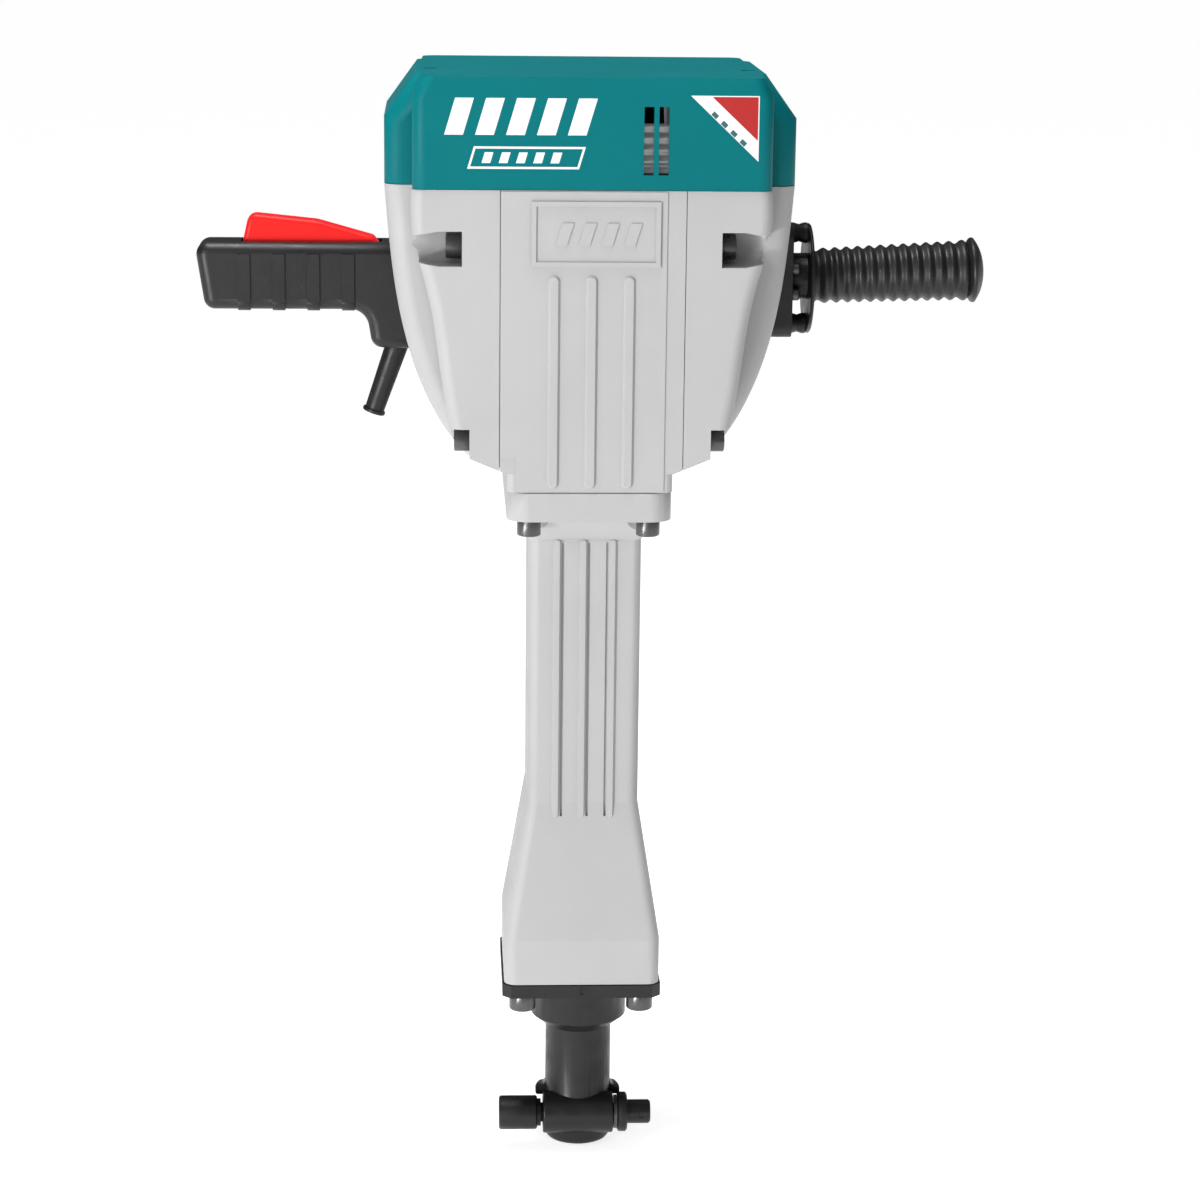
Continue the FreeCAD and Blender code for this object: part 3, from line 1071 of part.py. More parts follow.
def right_grip():
    """Rubber grip: a sleeve with soft waves along it, growing slightly, and a flared end with a low dome."""
    crests = 13
    x = 5.6
    wave = [V(0.0, 0, 18.2), V(1.7, 0, 19.3), V(3.5, 0, 18.2)]
    for i in range(crests):
        crest_r = 20.4 + 1.7 * i / (crests - 1.0)
        wave.append(V(x + GRIP_PITCH / 2, 0, crest_r))
        wave.append(V(x + GRIP_PITCH, 0, crest_r - 2.2))
        x += GRIP_PITCH
    curve = Part.BSplineCurve()
    curve.interpolate(wave)
    corners = [wave[-1], V(x + 2.4, 0, 23.4), V(x + 3.6, 0, 24.0), V(x + 5.0, 0, 23.8)]
    lines = [curve.toShape()]
    for first, second in zip(corners[:-1], corners[1:]):
        lines.append(Part.LineSegment(first, second).toShape())
    dome_end = V(x + 12.0, 0, 3.0)
    lines.append(Part.Arc(corners[-1], V(x + 10.2, 0, 14.0), dome_end).toShape())
    inner = [dome_end, V(x + 12.0, 0, 0), V(GRIP_DEEP, 0, 0), V(GRIP_DEEP, 0, GRIP_CORE_R),
             V(0, 0, GRIP_CORE_R), wave[0]]
    for first, second in zip(inner[:-1], inner[1:]):
        lines.append(Part.LineSegment(first, second).toShape())
    face = Part.Face(Part.Wire(Part.__sortEdges__(lines)))
    solid = face.revolve(V(0, 0, 0), V(1, 0, 0), 360)
    solid.rotate(V(0, 0, 0), V(0, 1, 0), -GRIP_TILT)
    solid.translate(V(DISC_X[1] - 2, 0, GRIP_AXIS_Z) + GRIP_DIR * GRIP_START)
    return solid


def bracket_bolts():
    return [socket_screw_x(BRACKET_X, y, z, 4.25, 5.0, M5_R, 22.0, 1) for y, z in BRACKET_BOLTS]


# ---------------------------------------------------------------- small inner pieces
def fan_baffle():
    """Plate in front of the fan that makes it draw its air through the motor."""
    baffle = box(24.0, 27.0, -96.0, 96.0, 709.5, 812.0)
    return baffle.cut(cyl_x(34.0, 10.0, 30.0, 0, MOTOR_Z))


def write_all():
    os.makedirs("parts", exist_ok=True)
    for name, shape in STEPS.items():
        if not shape.isValid():
            print("NOT VALID", name)
        shape.exportStep("parts/%s.step" % name)


# ---------------------------------------------------------------- assembly
left_limit = cover_solid(-1).fuse(box(-137, 0, -60, 60, 700, 800))
left_inner = [seat_lugs(-1).common(cover_solid(-1)), armature_left_boss().common(left_limit)]
left_cover = side_cover(-1, LEFT_SEAM).fuse(left_inner)
right_inner = [seat_lugs(1).common(cover_solid(1)), gear_cover_boss().common(cover_solid(1))]
right_cover = side_cover(1, RIGHT_SEAM).fuse(right_inner)
keep("crankcase", crankcase())
keep("left_side_cover", left_cover.removeSplitter())
for bolt_y, bolt_z in BRACKET_BOLTS:
    right_cover = right_cover.cut(cyl_x(M5_R, 120.0, 160.0, bolt_y, bolt_z))
keep("right_gear_cover", right_cover.removeSplitter())
keep("side_cover_bolts", *(cover_bolts(-1, LEFT_SEAM) + cover_bolts(1, RIGHT_SEAM)))
keep("top_cover", top_cover())
keep("top_cover_screws", *top_cover_screws())
keep("barrel_housing", barrel_housing())
keep("barrel_bolts", *barrel_bolts())
keep("nose_holder", nose_holder())
keep("nose_bolts", *nose_bolts())
keep("nose_gasket", nose_gasket())
keep("tool_sleeve", tool_sleeve())
keep("guide_sleeve", guide_sleeve())
keep("damper_ring", damper_ring())
keep("nose_seal", nose_seal())
keep("cylinder_liner", cylinder_liner())
keep("impact_bolt", impact_bolt())
keep("striker", striker())
keep("striker_rings", *striker_rings())
keep("piston", piston())
keep("piston_ring", ring_z(BORE_R - RUNNING, BORE_R - RUNNING - 3, PISTON_LOW + 6, PISTON_LOW + 10))
keep("piston_pin", cyl_x(7.0, -23.0, 23.0, 0, PIN_Z))
keep("connecting_rod", connecting_rod())
keep("crank_pin", cyl_x(11.0, -8.5, 7.5, 0, CRANK_Z - CRANK_R))
keep("crankshaft", crank_disc())
keep("crank_bearings", *(bearing(24.0, 39.0, 26.0, 12.5, 0, CRANK_Z)
                         + bearing(60.0, 74.0, 23.5, 12.5, 0, CRANK_Z)))
keep("crank_gear", crank_gear())
keep("intermediate_shaft", intermediate_shaft())
keep("intermediate_gear", intermediate_gear())
keep("intermediate_bearings", *(bearing(65.5, 76.5, 16.0, 7.5, MIDDLE_Y, MIDDLE_Z)
                                + bearing(109.5, 120.5, 16.0, 7.5, MIDDLE_Y, MIDDLE_Z)))
keep("gear_case_wall", gear_case_wall())
keep("armature_shaft", armature_shaft())
keep("armature_core", armature_core())
keep("armature_windings", *armature_windings())
keep("commutator", commutator())
keep("cooling_fan", cooling_fan())
keep("armature_bearings", *(bearing(-123.0, -112.0, 16.0, 6.0, 0, MOTOR_Z)
                            + bearing(64.5, 75.5, 17.5, 7.5, 0, MOTOR_Z)))
keep("stator_core", stator_core())
keep("stator_windings", stator_windings())
keep("brush_holders", *brush_holders())
keep("carbon_brushes", *carbon_brushes())
keep("fan_baffle", fan_baffle())
keep("lock_pin", lock_pin())
keep("lock_pin_collar", lock_pin_collar(), lock_roll_pin())
keep("lock_pin_spring", coil_x(10.4, 0.6, LOCK_SPRING_X, LOCK_WASHER_X[0], 2.5, LOCK_Y, LOCK_Z))
keep("lock_pin_washer", ring_x(LOCK_WASHER_R, 7.55, LOCK_WASHER_X[0], LOCK_WASHER_X[1], LOCK_Y, LOCK_Z))
front_shell, rear_shell = handle_shells()
keep("left_handle_front_shell", front_shell)
keep("left_handle_rear_shell", rear_shell)
keep("left_handle_screws", *handle_screws())
keep("cord_boot", cord_boot())
keep("trigger_lever", trigger_lever())
keep("trigger_pivot_pin", lever_pivot_pin())
keep("trigger_spring", coil_z(4.5, 0.7, -242.0, 0.0, 657.2, 694.8, 6))
keep("switch_body", switch_body())
keep("switch_plunger", switch_plunger())
keep("right_handle_bracket", right_bracket())
keep("right_handle_dampers", *handle_dampers())
keep("right_handle_bolts", *(damper_bolts() + bracket_bolts()))
keep("right_handle_disc", handle_disc())
keep("right_grip", right_grip())
write_all()
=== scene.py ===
"""Electric jackhammer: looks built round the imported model. Metres, same frame as the CAD."""
import bmesh
import bpy
import json
import math
from mathutils import Matrix, Vector


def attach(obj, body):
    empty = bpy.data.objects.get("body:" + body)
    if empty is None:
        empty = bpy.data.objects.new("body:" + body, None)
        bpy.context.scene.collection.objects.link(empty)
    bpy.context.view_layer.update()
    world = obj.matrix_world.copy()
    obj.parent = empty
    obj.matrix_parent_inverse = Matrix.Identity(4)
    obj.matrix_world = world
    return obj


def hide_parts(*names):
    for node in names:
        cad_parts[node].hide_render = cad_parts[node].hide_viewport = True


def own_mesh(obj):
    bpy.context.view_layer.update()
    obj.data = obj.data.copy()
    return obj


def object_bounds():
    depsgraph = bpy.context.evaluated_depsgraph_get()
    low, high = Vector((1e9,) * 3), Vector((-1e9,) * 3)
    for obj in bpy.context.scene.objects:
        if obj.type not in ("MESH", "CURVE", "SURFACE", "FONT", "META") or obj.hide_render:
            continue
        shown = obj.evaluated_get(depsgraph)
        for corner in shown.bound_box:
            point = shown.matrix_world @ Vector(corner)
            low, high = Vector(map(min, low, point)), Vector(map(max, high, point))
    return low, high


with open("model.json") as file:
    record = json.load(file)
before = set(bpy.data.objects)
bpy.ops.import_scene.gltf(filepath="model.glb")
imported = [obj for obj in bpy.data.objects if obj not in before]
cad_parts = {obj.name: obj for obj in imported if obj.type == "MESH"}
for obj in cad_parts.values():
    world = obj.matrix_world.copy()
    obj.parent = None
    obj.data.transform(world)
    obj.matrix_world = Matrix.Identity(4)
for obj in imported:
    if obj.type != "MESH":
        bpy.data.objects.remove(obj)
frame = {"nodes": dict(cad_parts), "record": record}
cad_low, cad_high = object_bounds()
NODES = frame["nodes"]
MM = 0.001

# ---------------------------------------------------------------- camera
CAMERA_LENS = 96.0
CAMERA_SENSOR = 36.0
CAMERA_DISTANCE = 2.416
CAMERA_PITCH = math.radians(13.5)
CAMERA_YAW = math.radians(2.9)
CAMERA_ROLL = math.radians(0.65)
CAMERA_AIM = Vector((0.0135, 0.0, 0.4307))


def make_camera():
    data = bpy.data.cameras.new("camera")
    data.lens = CAMERA_LENS
    data.sensor_width = CAMERA_SENSOR
    cam = bpy.data.objects.new("camera", data)
    bpy.context.scene.collection.objects.link(cam)
    forward = Vector((math.sin(CAMERA_YAW) * math.cos(CAMERA_PITCH),
                      math.cos(CAMERA_YAW) * math.cos(CAMERA_PITCH),
                      -math.sin(CAMERA_PITCH)))
    right = Vector((math.cos(CAMERA_YAW), -math.sin(CAMERA_YAW), 0.0))
    up = right.cross(forward)
    rolled_right = right * math.cos(CAMERA_ROLL) + up * math.sin(CAMERA_ROLL)
    rolled_up = up * math.cos(CAMERA_ROLL) - right * math.sin(CAMERA_ROLL)
    turn = Matrix((rolled_right, rolled_up, -forward)).transposed().to_4x4()
    cam.matrix_world = Matrix.Translation(CAMERA_AIM - forward * CAMERA_DISTANCE) @ turn
    bpy.context.scene.camera = cam


# ---------------------------------------------------------------- stage and light
WORLD_BRIGHT = 0.42
WORLD_DIM = 0.04             # strength at the far left and right
SIDE_FADE = (0.30, 0.85)     # where the light falls off, as the sideways part of a direction
BACK_DIM = 0.15              # share left behind the object, where its upper faces would mirror white
BACK_FADE = (0.62, 0.88)     # the same for the backward part of a direction
FLOOR_SIZE = 60.0
FLOOR_GAP = 0.004
FLOOR_GLOW = 0.74            # keeps the floor white where the dim sides of the studio would grey it

# name: place, aim, size and power
LAMPS = {
    "key": ((-1.9, -2.6, 1.3), (0, 0, 0.45), (0.5, 1.3), 24),
    "low_key": ((-1.9, -2.2, 0.10), (0, 0, 0.40), (0.25, 0.35), 60),
    "overhead": ((-0.25, -0.12, 2.3), (0, 0, 0.7), (0.9, 0.6), 36),
}


def area_light(name, place, aim, size, power):
    data = bpy.data.lights.new(name, "AREA")
    data.shape = "RECTANGLE"
    data.size, data.size_y = size
    data.energy = power
    lamp = bpy.data.objects.new(name, data)
    bpy.context.scene.collection.objects.link(lamp)
    lamp.location = place
    lamp.rotation_mode = "QUATERNION"
    lamp.rotation_quaternion = (Vector(aim) - Vector(place)).to_track_quat("-Z", "Y")


def fade(tree, value, span, strong, weak):
    """Strong below span, weak above it, and a straight ramp between."""
    made = tree.nodes.new("ShaderNodeMapRange")
    for i, number in enumerate((*span, strong, weak)):
        made.inputs[i + 1].default_value = number
    tree.links.new(value, made.inputs["Value"])
    return made.outputs["Result"]


def make_world():
    """White studio, dim to the left and right so that rounded edges fall into shade, and dim behind."""
    world = bpy.data.worlds.new("studio")
    world.use_nodes = True
    tree = world.node_tree
    place = tree.nodes.new("ShaderNodeTexCoord")
    split = tree.nodes.new("ShaderNodeSeparateXYZ")
    sideways = tree.nodes.new("ShaderNodeMath")
    sideways.operation = "ABSOLUTE"
    both = tree.nodes.new("ShaderNodeMath")
    both.operation = "MULTIPLY"
    background = tree.nodes["Background"]
    tree.links.new(place.outputs["Generated"], split.inputs[0])
    tree.links.new(split.outputs["X"], sideways.inputs[0])
    tree.links.new(fade(tree, sideways.outputs[0], SIDE_FADE, WORLD_BRIGHT, WORLD_DIM), both.inputs[0])
    tree.links.new(fade(tree, split.outputs["Y"], BACK_FADE, 1.0, BACK_DIM), both.inputs[1])
    tree.links.new(both.outputs[0], background.inputs["Strength"])
    background.inputs["Color"].default_value = (1, 1, 1, 1)
    return world


def make_stage():
    bpy.ops.mesh.primitive_plane_add(size=FLOOR_SIZE, location=(0, 0, cad_low.z - FLOOR_GAP))
    floor = bpy.context.object
    floor.name = "floor"
    mat = bpy.data.materials.new("floor")
    mat.use_nodes = True
    shader = mat.node_tree.nodes["Principled BSDF"]
    shader.inputs["Base Color"].default_value = (0.93, 0.93, 0.93, 1)
    shader.inputs["Roughness"].default_value = 0.9
    shader.inputs["Specular IOR Level"].default_value = 0.1
    shader.inputs["Emission Color"].default_value = (1, 1, 1, 1)
    shader.inputs["Emission Strength"].default_value = FLOOR_GLOW
    floor.data.materials.append(mat)
    bpy.context.scene.world = make_world()
    bpy.context.scene.view_settings.view_transform = "Standard"
    for name, (place, aim, size, power) in LAMPS.items():
        area_light(name, place, aim, size, power)


# ---------------------------------------------------------------- material helpers
class Graph:
    """A material's node tree with short calls for what the materials below share."""

    def __init__(self, name):
        self.mat = bpy.data.materials.new(name)
        self.mat.use_nodes = True
        self.tree = self.mat.node_tree
        self.shader = self.tree.nodes["Principled BSDF"]
        self.place = self.node("ShaderNodeTexCoord").outputs["Object"]

    def node(self, kind, **inputs):
        made = self.tree.nodes.new(kind)
        for key, value in inputs.items():
            made.inputs[key.replace("_", " ")].default_value = value
        return made

    def link(self, out, into):
        self.tree.links.new(out, into)

    def stretched(self, scale):
        """Object coordinates scaled differently along X, Y and Z."""
        mapping = self.node("ShaderNodeMapping")
        mapping.inputs["Scale"].default_value = scale
        self.link(self.place, mapping.inputs["Vector"])
        return mapping.outputs["Vector"]

    def noise(self, scale, detail=3.0, roughness=0.55, vector=None):
        made = self.node("ShaderNodeTexNoise", Scale=scale, Detail=detail, Roughness=roughness)
        self.link(vector or self.place, made.inputs["Vector"])
        return made.outputs["Fac"]

    def voronoi(self, scale, vector=None):
        made = self.node("ShaderNodeTexVoronoi", Scale=scale)
        self.link(vector or self.place, made.inputs["Vector"])
        return made.outputs["Distance"]

    def remap(self, value, low, high, to_low, to_high):
        made = self.node("ShaderNodeMapRange")
        for i, number in enumerate((low, high, to_low, to_high)):
            made.inputs[i + 1].default_value = number
        self.link(value, made.inputs["Value"])
        return made.outputs["Result"]

    def mix(self, factor, first, second):
        """Colour mix; first and second are colours or sockets, and factor a number or socket."""
        made = self.tree.nodes.new("ShaderNodeMix")
        made.data_type = "RGBA"
        for socket, value in ((made.inputs[0], factor), (made.inputs[6], first), (made.inputs[7], second)):
            if isinstance(value, bpy.types.NodeSocket):
                self.link(value, socket)
            elif isinstance(value, tuple):
                socket.default_value = (*value, 1.0)
            else:
                socket.default_value = value
        return made.outputs[2]

    def multiply(self, first, second):
        made = self.tree.nodes.new("ShaderNodeMath")
        made.operation = "MULTIPLY"
        for socket, value in zip(made.inputs, (first, second)):
            if isinstance(value, bpy.types.NodeSocket):
                self.link(value, socket)
            else:
                socket.default_value = value
        return made.outputs[0]

    def bump(self, height, distance, strength=1.0, below=None):
        made = self.node("ShaderNodeBump", Strength=strength, Distance=distance)
        self.link(height, made.inputs["Height"])
        if below is not None:
            self.link(below, made.inputs["Normal"])
        return made.outputs["Normal"]

    def painted_corner_shade(self, distance):
        """Mask for painted shade, from ambient occlusion: 0 on open faces, rising towards 1 deep in corners.
        """
        made = self.node("ShaderNodeAmbientOcclusion", Distance=distance)
        made.samples = 6
        return self.remap(made.outputs["AO"], 0.45, 0.95, 1.0, 0.0)

    def finish(self, colour, roughness, normal=None, metallic=0.0, specular=0.5, coat=0.0, coat_rough=0.2):
        for key, value in (("Base Color", colour), ("Roughness", roughness), ("Normal", normal)):
            if isinstance(value, bpy.types.NodeSocket):
                self.link(value, self.shader.inputs[key])
            elif isinstance(value, tuple):
                self.shader.inputs[key].default_value = (*value, 1.0)
            elif value is not None:
                self.shader.inputs[key].default_value = value
        self.shader.inputs["Metallic"].default_value = metallic
        self.shader.inputs["Specular IOR Level"].default_value = specular
        self.shader.inputs["Coat Weight"].default_value = coat
        self.shader.inputs["Coat Roughness"].default_value = coat_rough
        return self.mat


def scaled(colour, factor):
    return tuple(c * factor for c in colour)


def painted_casting(name, colour, rough=0.42, texture=0.00006, specular=0.25):
    """Powder-coated casting: faint mottling, fine orange peel, painted shade in the corners."""
    g = Graph(name)
    mottle = g.remap(g.noise(14.0, 4.0), 0.3, 0.7, 0.0, 1.0)
    paint = g.mix(mottle, scaled(colour, 0.965), scaled(colour, 1.02))
    specks = g.remap(g.noise(900.0, 2.0), 0.66, 0.74, 0.0, 0.35)
    paint = g.mix(specks, paint, scaled(colour, 0.86))
    # painted shade: corners darkened towards 62% of the colour by the ambient-occlusion mask
    paint = g.mix(g.multiply(g.painted_corner_shade(0.006), 0.30), paint, scaled(colour, 0.62))
    gloss = g.remap(g.noise(32.0, 3.0), 0.3, 0.7, rough - 0.05, rough + 0.06)
    peel = g.bump(g.noise(620.0, 2.0, 0.5), texture)
    sand = g.bump(g.noise(1900.0, 1.0, 0.5), texture * 0.35, 1.0, peel)
    return g.finish(paint, gloss, sand, 0.0, specular)


def moulded_plastic(name, colour, rough=0.5, grain=0.00005, specular=0.45):
    """Injection-moulded plastic with a fine spark-eroded grain."""
    g = Graph(name)
    mottle = g.remap(g.noise(20.0, 3.0), 0.3, 0.7, 0.0, 1.0)
    shade = g.mix(mottle, scaled(colour, 0.92), scaled(colour, 1.08))
    # painted shade: corners darkened towards 55% of the colour by the ambient-occlusion mask
    shade = g.mix(g.multiply(g.painted_corner_shade(0.004), 0.35), shade, scaled(colour, 0.55))
    gloss = g.remap(g.noise(60.0, 3.0), 0.3, 0.7, rough - 0.06, rough + 0.07)
    grainy = g.bump(g.voronoi(1500.0), grain)
    return g.finish(shade, gloss, grainy, 0.0, specular)


def rubber(name, colour, rough=0.50, painted_hollow_shade=0.5):
    """Moulded rubber: matt, with painted shade in its hollows, very fine grain."""
    g = Graph(name)
    mottle = g.remap(g.noise(26.0, 4.0), 0.3, 0.75, 0.0, 1.0)
    shade = g.mix(mottle, scaled(colour, 0.85), scaled(colour, 1.25))
    # painted shade: hollows darkened towards 40% of the colour by the ambient-occlusion mask
    shade = g.mix(g.multiply(g.painted_corner_shade(0.004), painted_hollow_shade * 0.3), shade, scaled(colour, 0.4))
    gloss = g.remap(g.noise(90.0, 3.0), 0.3, 0.7, rough - 0.08, rough + 0.08)
    grain = g.bump(g.noise(2200.0, 2.0), 0.00005)
    return g.finish(shade, gloss, grain, 0.0, 0.35)


def black_iron(name, colour, rough, texture, specular):
    """Forged and blackened steel: mottled, with a fine blasted grain and a dull shine."""
    g = Graph(name)
    blotch = g.remap(g.noise(45.0, 5.0, 0.6), 0.35, 0.7, 0.0, 1.0)
    shade = g.mix(blotch, scaled(colour, 0.8), scaled(colour, 1.45))
    # painted shade: corners darkened towards 40% of the colour by the ambient-occlusion mask
    shade = g.mix(g.multiply(g.painted_corner_shade(0.004), 0.5), shade, scaled(colour, 0.4))
    gloss = g.remap(g.noise(80.0, 4.0), 0.3, 0.7, rough - 0.08, rough + 0.12)
    blasted = g.bump(g.noise(1100.0, 3.0), texture)
    return g.finish(shade, gloss, blasted, 0.0, specular)


def machined_steel(name, colour=(0.50, 0.50, 0.51), rough=0.28, along="z", oil=0.0):
    """Turned or ground steel: fine rings round the part's axis, faint oil stains."""
    g = Graph(name)
    scale = {"x": (9000.0, 40.0, 40.0), "z": (40.0, 40.0, 9000.0), "none": (300.0, 300.0, 300.0)}[along]
    rings = g.noise(1.0, 2.0, 0.5, g.stretched(scale))
    shade = g.mix(g.remap(rings, 0.3, 0.7, 0.0, 1.0), scaled(colour, 0.86), scaled(colour, 1.08))
    stain = g.remap(g.noise(38.0, 4.0), 0.52, 0.72, 0.0, 0.35 + oil)
    shade = g.mix(stain, shade, scaled(colour, 0.55))
    gloss = g.remap(g.noise(70.0, 3.0), 0.3, 0.7, rough - 0.06, rough + 0.10)
    lines = g.bump(rings, 0.00001)
    return g.finish(shade, gloss, lines, 1.0, 0.5)


def laminations(name):
    """Stacked electrical sheet: thin grey lines square to the motor's axis."""
    g = Graph(name)
    sheets = g.noise(1.0, 0.0, 0.5, g.stretched((2200.0, 2.0, 2.0)))
    shade = g.mix(g.remap(sheets, 0.4, 0.6, 0.0, 1.0), (0.16, 0.16, 0.165), (0.36, 0.36, 0.37))
    return g.finish(shade, 0.38, g.bump(sheets, 0.00008), 0.9, 0.5)


def wound_copper(name):
    """Enamelled winding: bundled strands under amber varnish."""
    g = Graph(name)
    strands = g.noise(1.0, 2.0, 0.5, g.stretched((60.0, 1400.0, 1400.0)))
    shade = g.mix(g.remap(strands, 0.35, 0.65, 0.0, 1.0), (0.22, 0.065, 0.018), (0.62, 0.24, 0.09))
    return g.finish(shade, 0.3, g.bump(strands, 0.0002), 0.65, 0.5, 0.4, 0.12)


def turned_copper(name):
    g = Graph(name)
    rings = g.noise(1.0, 2.0, 0.5, g.stretched((8000.0, 30.0, 30.0)))
    shade = g.mix(g.remap(rings, 0.3, 0.7, 0.0, 1.0), (0.45, 0.20, 0.10), (0.78, 0.42, 0.25))
    return g.finish(shade, 0.25, g.bump(rings, 0.00001), 1.0, 0.5)


def cast_aluminium(name, colour=(0.55, 0.56, 0.57), rough=0.45):
    g = Graph(name)
    shade = g.mix(g.remap(g.noise(60.0, 5.0), 0.3, 0.7, 0.0, 1.0), scaled(colour, 0.85), scaled(colour, 1.1))
    gloss = g.remap(g.noise(120.0, 3.0), 0.3, 0.7, rough - 0.07, rough + 0.1)
    return g.finish(shade, gloss, g.bump(g.noise(700.0, 3.0), 0.00008), 0.95, 0.5)


def printed_film(name, colour):
    """Thin printed vinyl with a very slight ripple."""
    g = Graph(name)
    shade = g.mix(g.remap(g.noise(40.0, 3.0), 0.3, 0.7, 0.0, 1.0), scaled(colour, 0.96), scaled(colour, 1.0))
    return g.finish(shade, g.remap(g.noise(90.0, 2.0), 0.3, 0.7, 0.28, 0.38),
                    g.bump(g.noise(260.0, 2.0), 0.00002), 0.0, 0.5)


# ---------------------------------------------------------------- materials by record slot
MATERIALS = {
    "grey_casting": painted_casting("grey_casting", (0.392, 0.392, 0.392), 0.5),
    "teal_cover": painted_casting("teal_cover", (0.001, 0.136, 0.150), 0.42, 0.00002, 0.08),
    "black_steel": black_iron("black_steel", (0.006, 0.006, 0.007), 0.38, 0.00007, 0.34),
    "bolt_steel": black_iron("bolt_steel", (0.020, 0.020, 0.021), 0.30, 0.00003, 0.9),
    "ground_steel": machined_steel("ground_steel"),
    "gear_steel": machined_steel("gear_steel", (0.36, 0.35, 0.34), 0.34, "x", 0.2),
    "black_plastic": moulded_plastic("black_plastic", (0.010, 0.010, 0.011), 0.42, specular=0.32),
    "red_plastic": moulded_plastic("red_plastic", (0.72, 0.010, 0.009), 0.40, 0.00002, specular=0.18),
    "black_rubber": rubber("black_rubber", (0.008, 0.008, 0.009), 0.42),
    "copper_winding": wound_copper("copper_winding"),
    "commutator_copper": turned_copper("commutator_copper"),
    "carbon": rubber("carbon", (0.030, 0.030, 0.032), 0.5, 0.2),
    "laminations": laminations("laminations"),
    "aluminium_inner": cast_aluminium("aluminium_inner"),
    "inner_plastic": moulded_plastic("inner_plastic", (0.05, 0.05, 0.052), 0.48),
    "bearing_steel": machined_steel("bearing_steel", (0.62, 0.62, 0.63), 0.16, "none"),
    "spring_steel": machined_steel("spring_steel", (0.42, 0.42, 0.43), 0.3, "none"),
}


def dress_nodes():
    """Give every carried-over CAD node its slot's material."""
    for row in frame["record"]["subparts"]:
        node = NODES[row["node"]]
        node.data.materials.clear()
        node.data.materials.append(MATERIALS[row["material_slot"]])


def housing_piece(name, bm, material):
    """Turn a finished bmesh into a piece that rides on the housing."""
    mesh = bpy.data.meshes.new(name)
    bmesh.ops.recalc_face_normals(bm, faces=bm.faces)
    bm.to_mesh(mesh)
    bm.free()
    obj = bpy.data.objects.new(name, mesh)
    bpy.context.scene.collection.objects.link(obj)
    mesh.materials.append(material)
    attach(obj, "housing")
    return obj


# ---------------------------------------------------------------- printed film on the top cover
COVER_FRONT_Y = -107.0
FILM_THICK = 0.16
FILM_CLEAR = 0.02            # gap between the cover and a film
SLANT = 0.30                 # sideways lean of the printed bars, per unit of height
FILM_WHITE = (0.80, 0.81, 0.81)
FILM_RED = (0.38, 0.008, 0.007)
FILM_DARK = (0.03, 0.10, 0.12)

BAR_COUNT = 5
BAR_X, BAR_STEP, BAR_WIDTH = -104.0, 21.5, 13.0
BAR_Z = (789.0, 814.5)
FRAME_X = (-88.0, -10.0)
FRAME_Z = (765.5, 781.0)
FRAME_LINE = 1.5
SMALL_BAR_X, SMALL_BAR_STEP, SMALL_BAR_WIDTH = -78.0, 12.0, 6.0
SMALL_BAR_Z = (769.5, 777.0)
STICKER = ((67.5, 817.0), (115.5, 817.0), (115.5, 771.5))
STICKER_RED = ((82.5, 816.2), (114.7, 816.2), (114.7, 786.0))
DASH_COUNT = 4
DASH_START = (84.0, 806.3)
DASH_STEP, DASH_LONG, DASH_WIDE = 9.2, 4.6, 3.2


def slanted_bar(x, width, z0, z1):
    """Corners of a bar that leans to the right towards its top."""
    lean = (z1 - z0) * SLANT
    return [(x, z0), (x + width, z0), (x + width + lean, z1), (x + lean, z1)]


def slanted_frame(x0, x1, z0, z1, line):
    """Four strips round a slanted rectangle."""
    side = line * math.hypot(1.0, SLANT)
    lean = (z1 - z0) * SLANT
    low_in, high_in = line * SLANT, (z1 - z0 - line) * SLANT
    return [
        [(x0, z0), (x1, z0), (x1 + low_in, z0 + line), (x0 + low_in, z0 + line)],
        [(x0 + high_in, z1 - line), (x1 + high_in, z1 - line), (x1 + lean, z1), (x0 + lean, z1)],
        [(x0 + low_in, z0 + line), (x0 + low_in + side, z0 + line), (x0 + high_in + side, z1 - line),
         (x0 + high_in, z1 - line)],
        [(x1 + low_in - side, z0 + line), (x1 + low_in, z0 + line), (x1 + high_in, z1 - line),
         (x1 + high_in - side, z1 - line)],
    ]


def bar_row(x, step, width, heights):
    return [slanted_bar(x + step * i, width, *heights) for i in range(BAR_COUNT)]


def film(name, outlines, colour, lift=0.0):
    """Thin printed sheets on the cover's front face, each with its cut edge."""
    bm = bmesh.new()
    near = COVER_FRONT_Y - FILM_CLEAR - lift
    far = near - FILM_THICK
    for outline in outlines:
        inner = [bm.verts.new((x * MM, near * MM, z * MM)) for x, z in outline]
        outer = [bm.verts.new((x * MM, far * MM, z * MM)) for x, z in outline]
        bm.faces.new(inner)
        bm.faces.new(outer[::-1])
        for i in range(len(outline)):
            j = (i + 1) % len(outline)
            bm.faces.new((inner[j], inner[i], outer[i], outer[j]))
    housing_piece(name, bm, printed_film(name, colour))


def sticker_dashes():
    """Short dashes beside the sticker's long edge and in line with it."""
    along = Vector((STICKER[2][0] - STICKER[0][0], STICKER[2][1] - STICKER[0][1])).normalized()
    across = Vector((along.y, -along.x))
    corners = ((0.0, 0.0), (DASH_LONG, 0.0), (DASH_LONG, DASH_WIDE), (0.0, DASH_WIDE))
    dashes = []
    for i in range(DASH_COUNT):
        foot = Vector(DASH_START) + along * (DASH_STEP * i)
        dashes.append([tuple(foot + along * a + across * b) for a, b in corners])
    return dashes


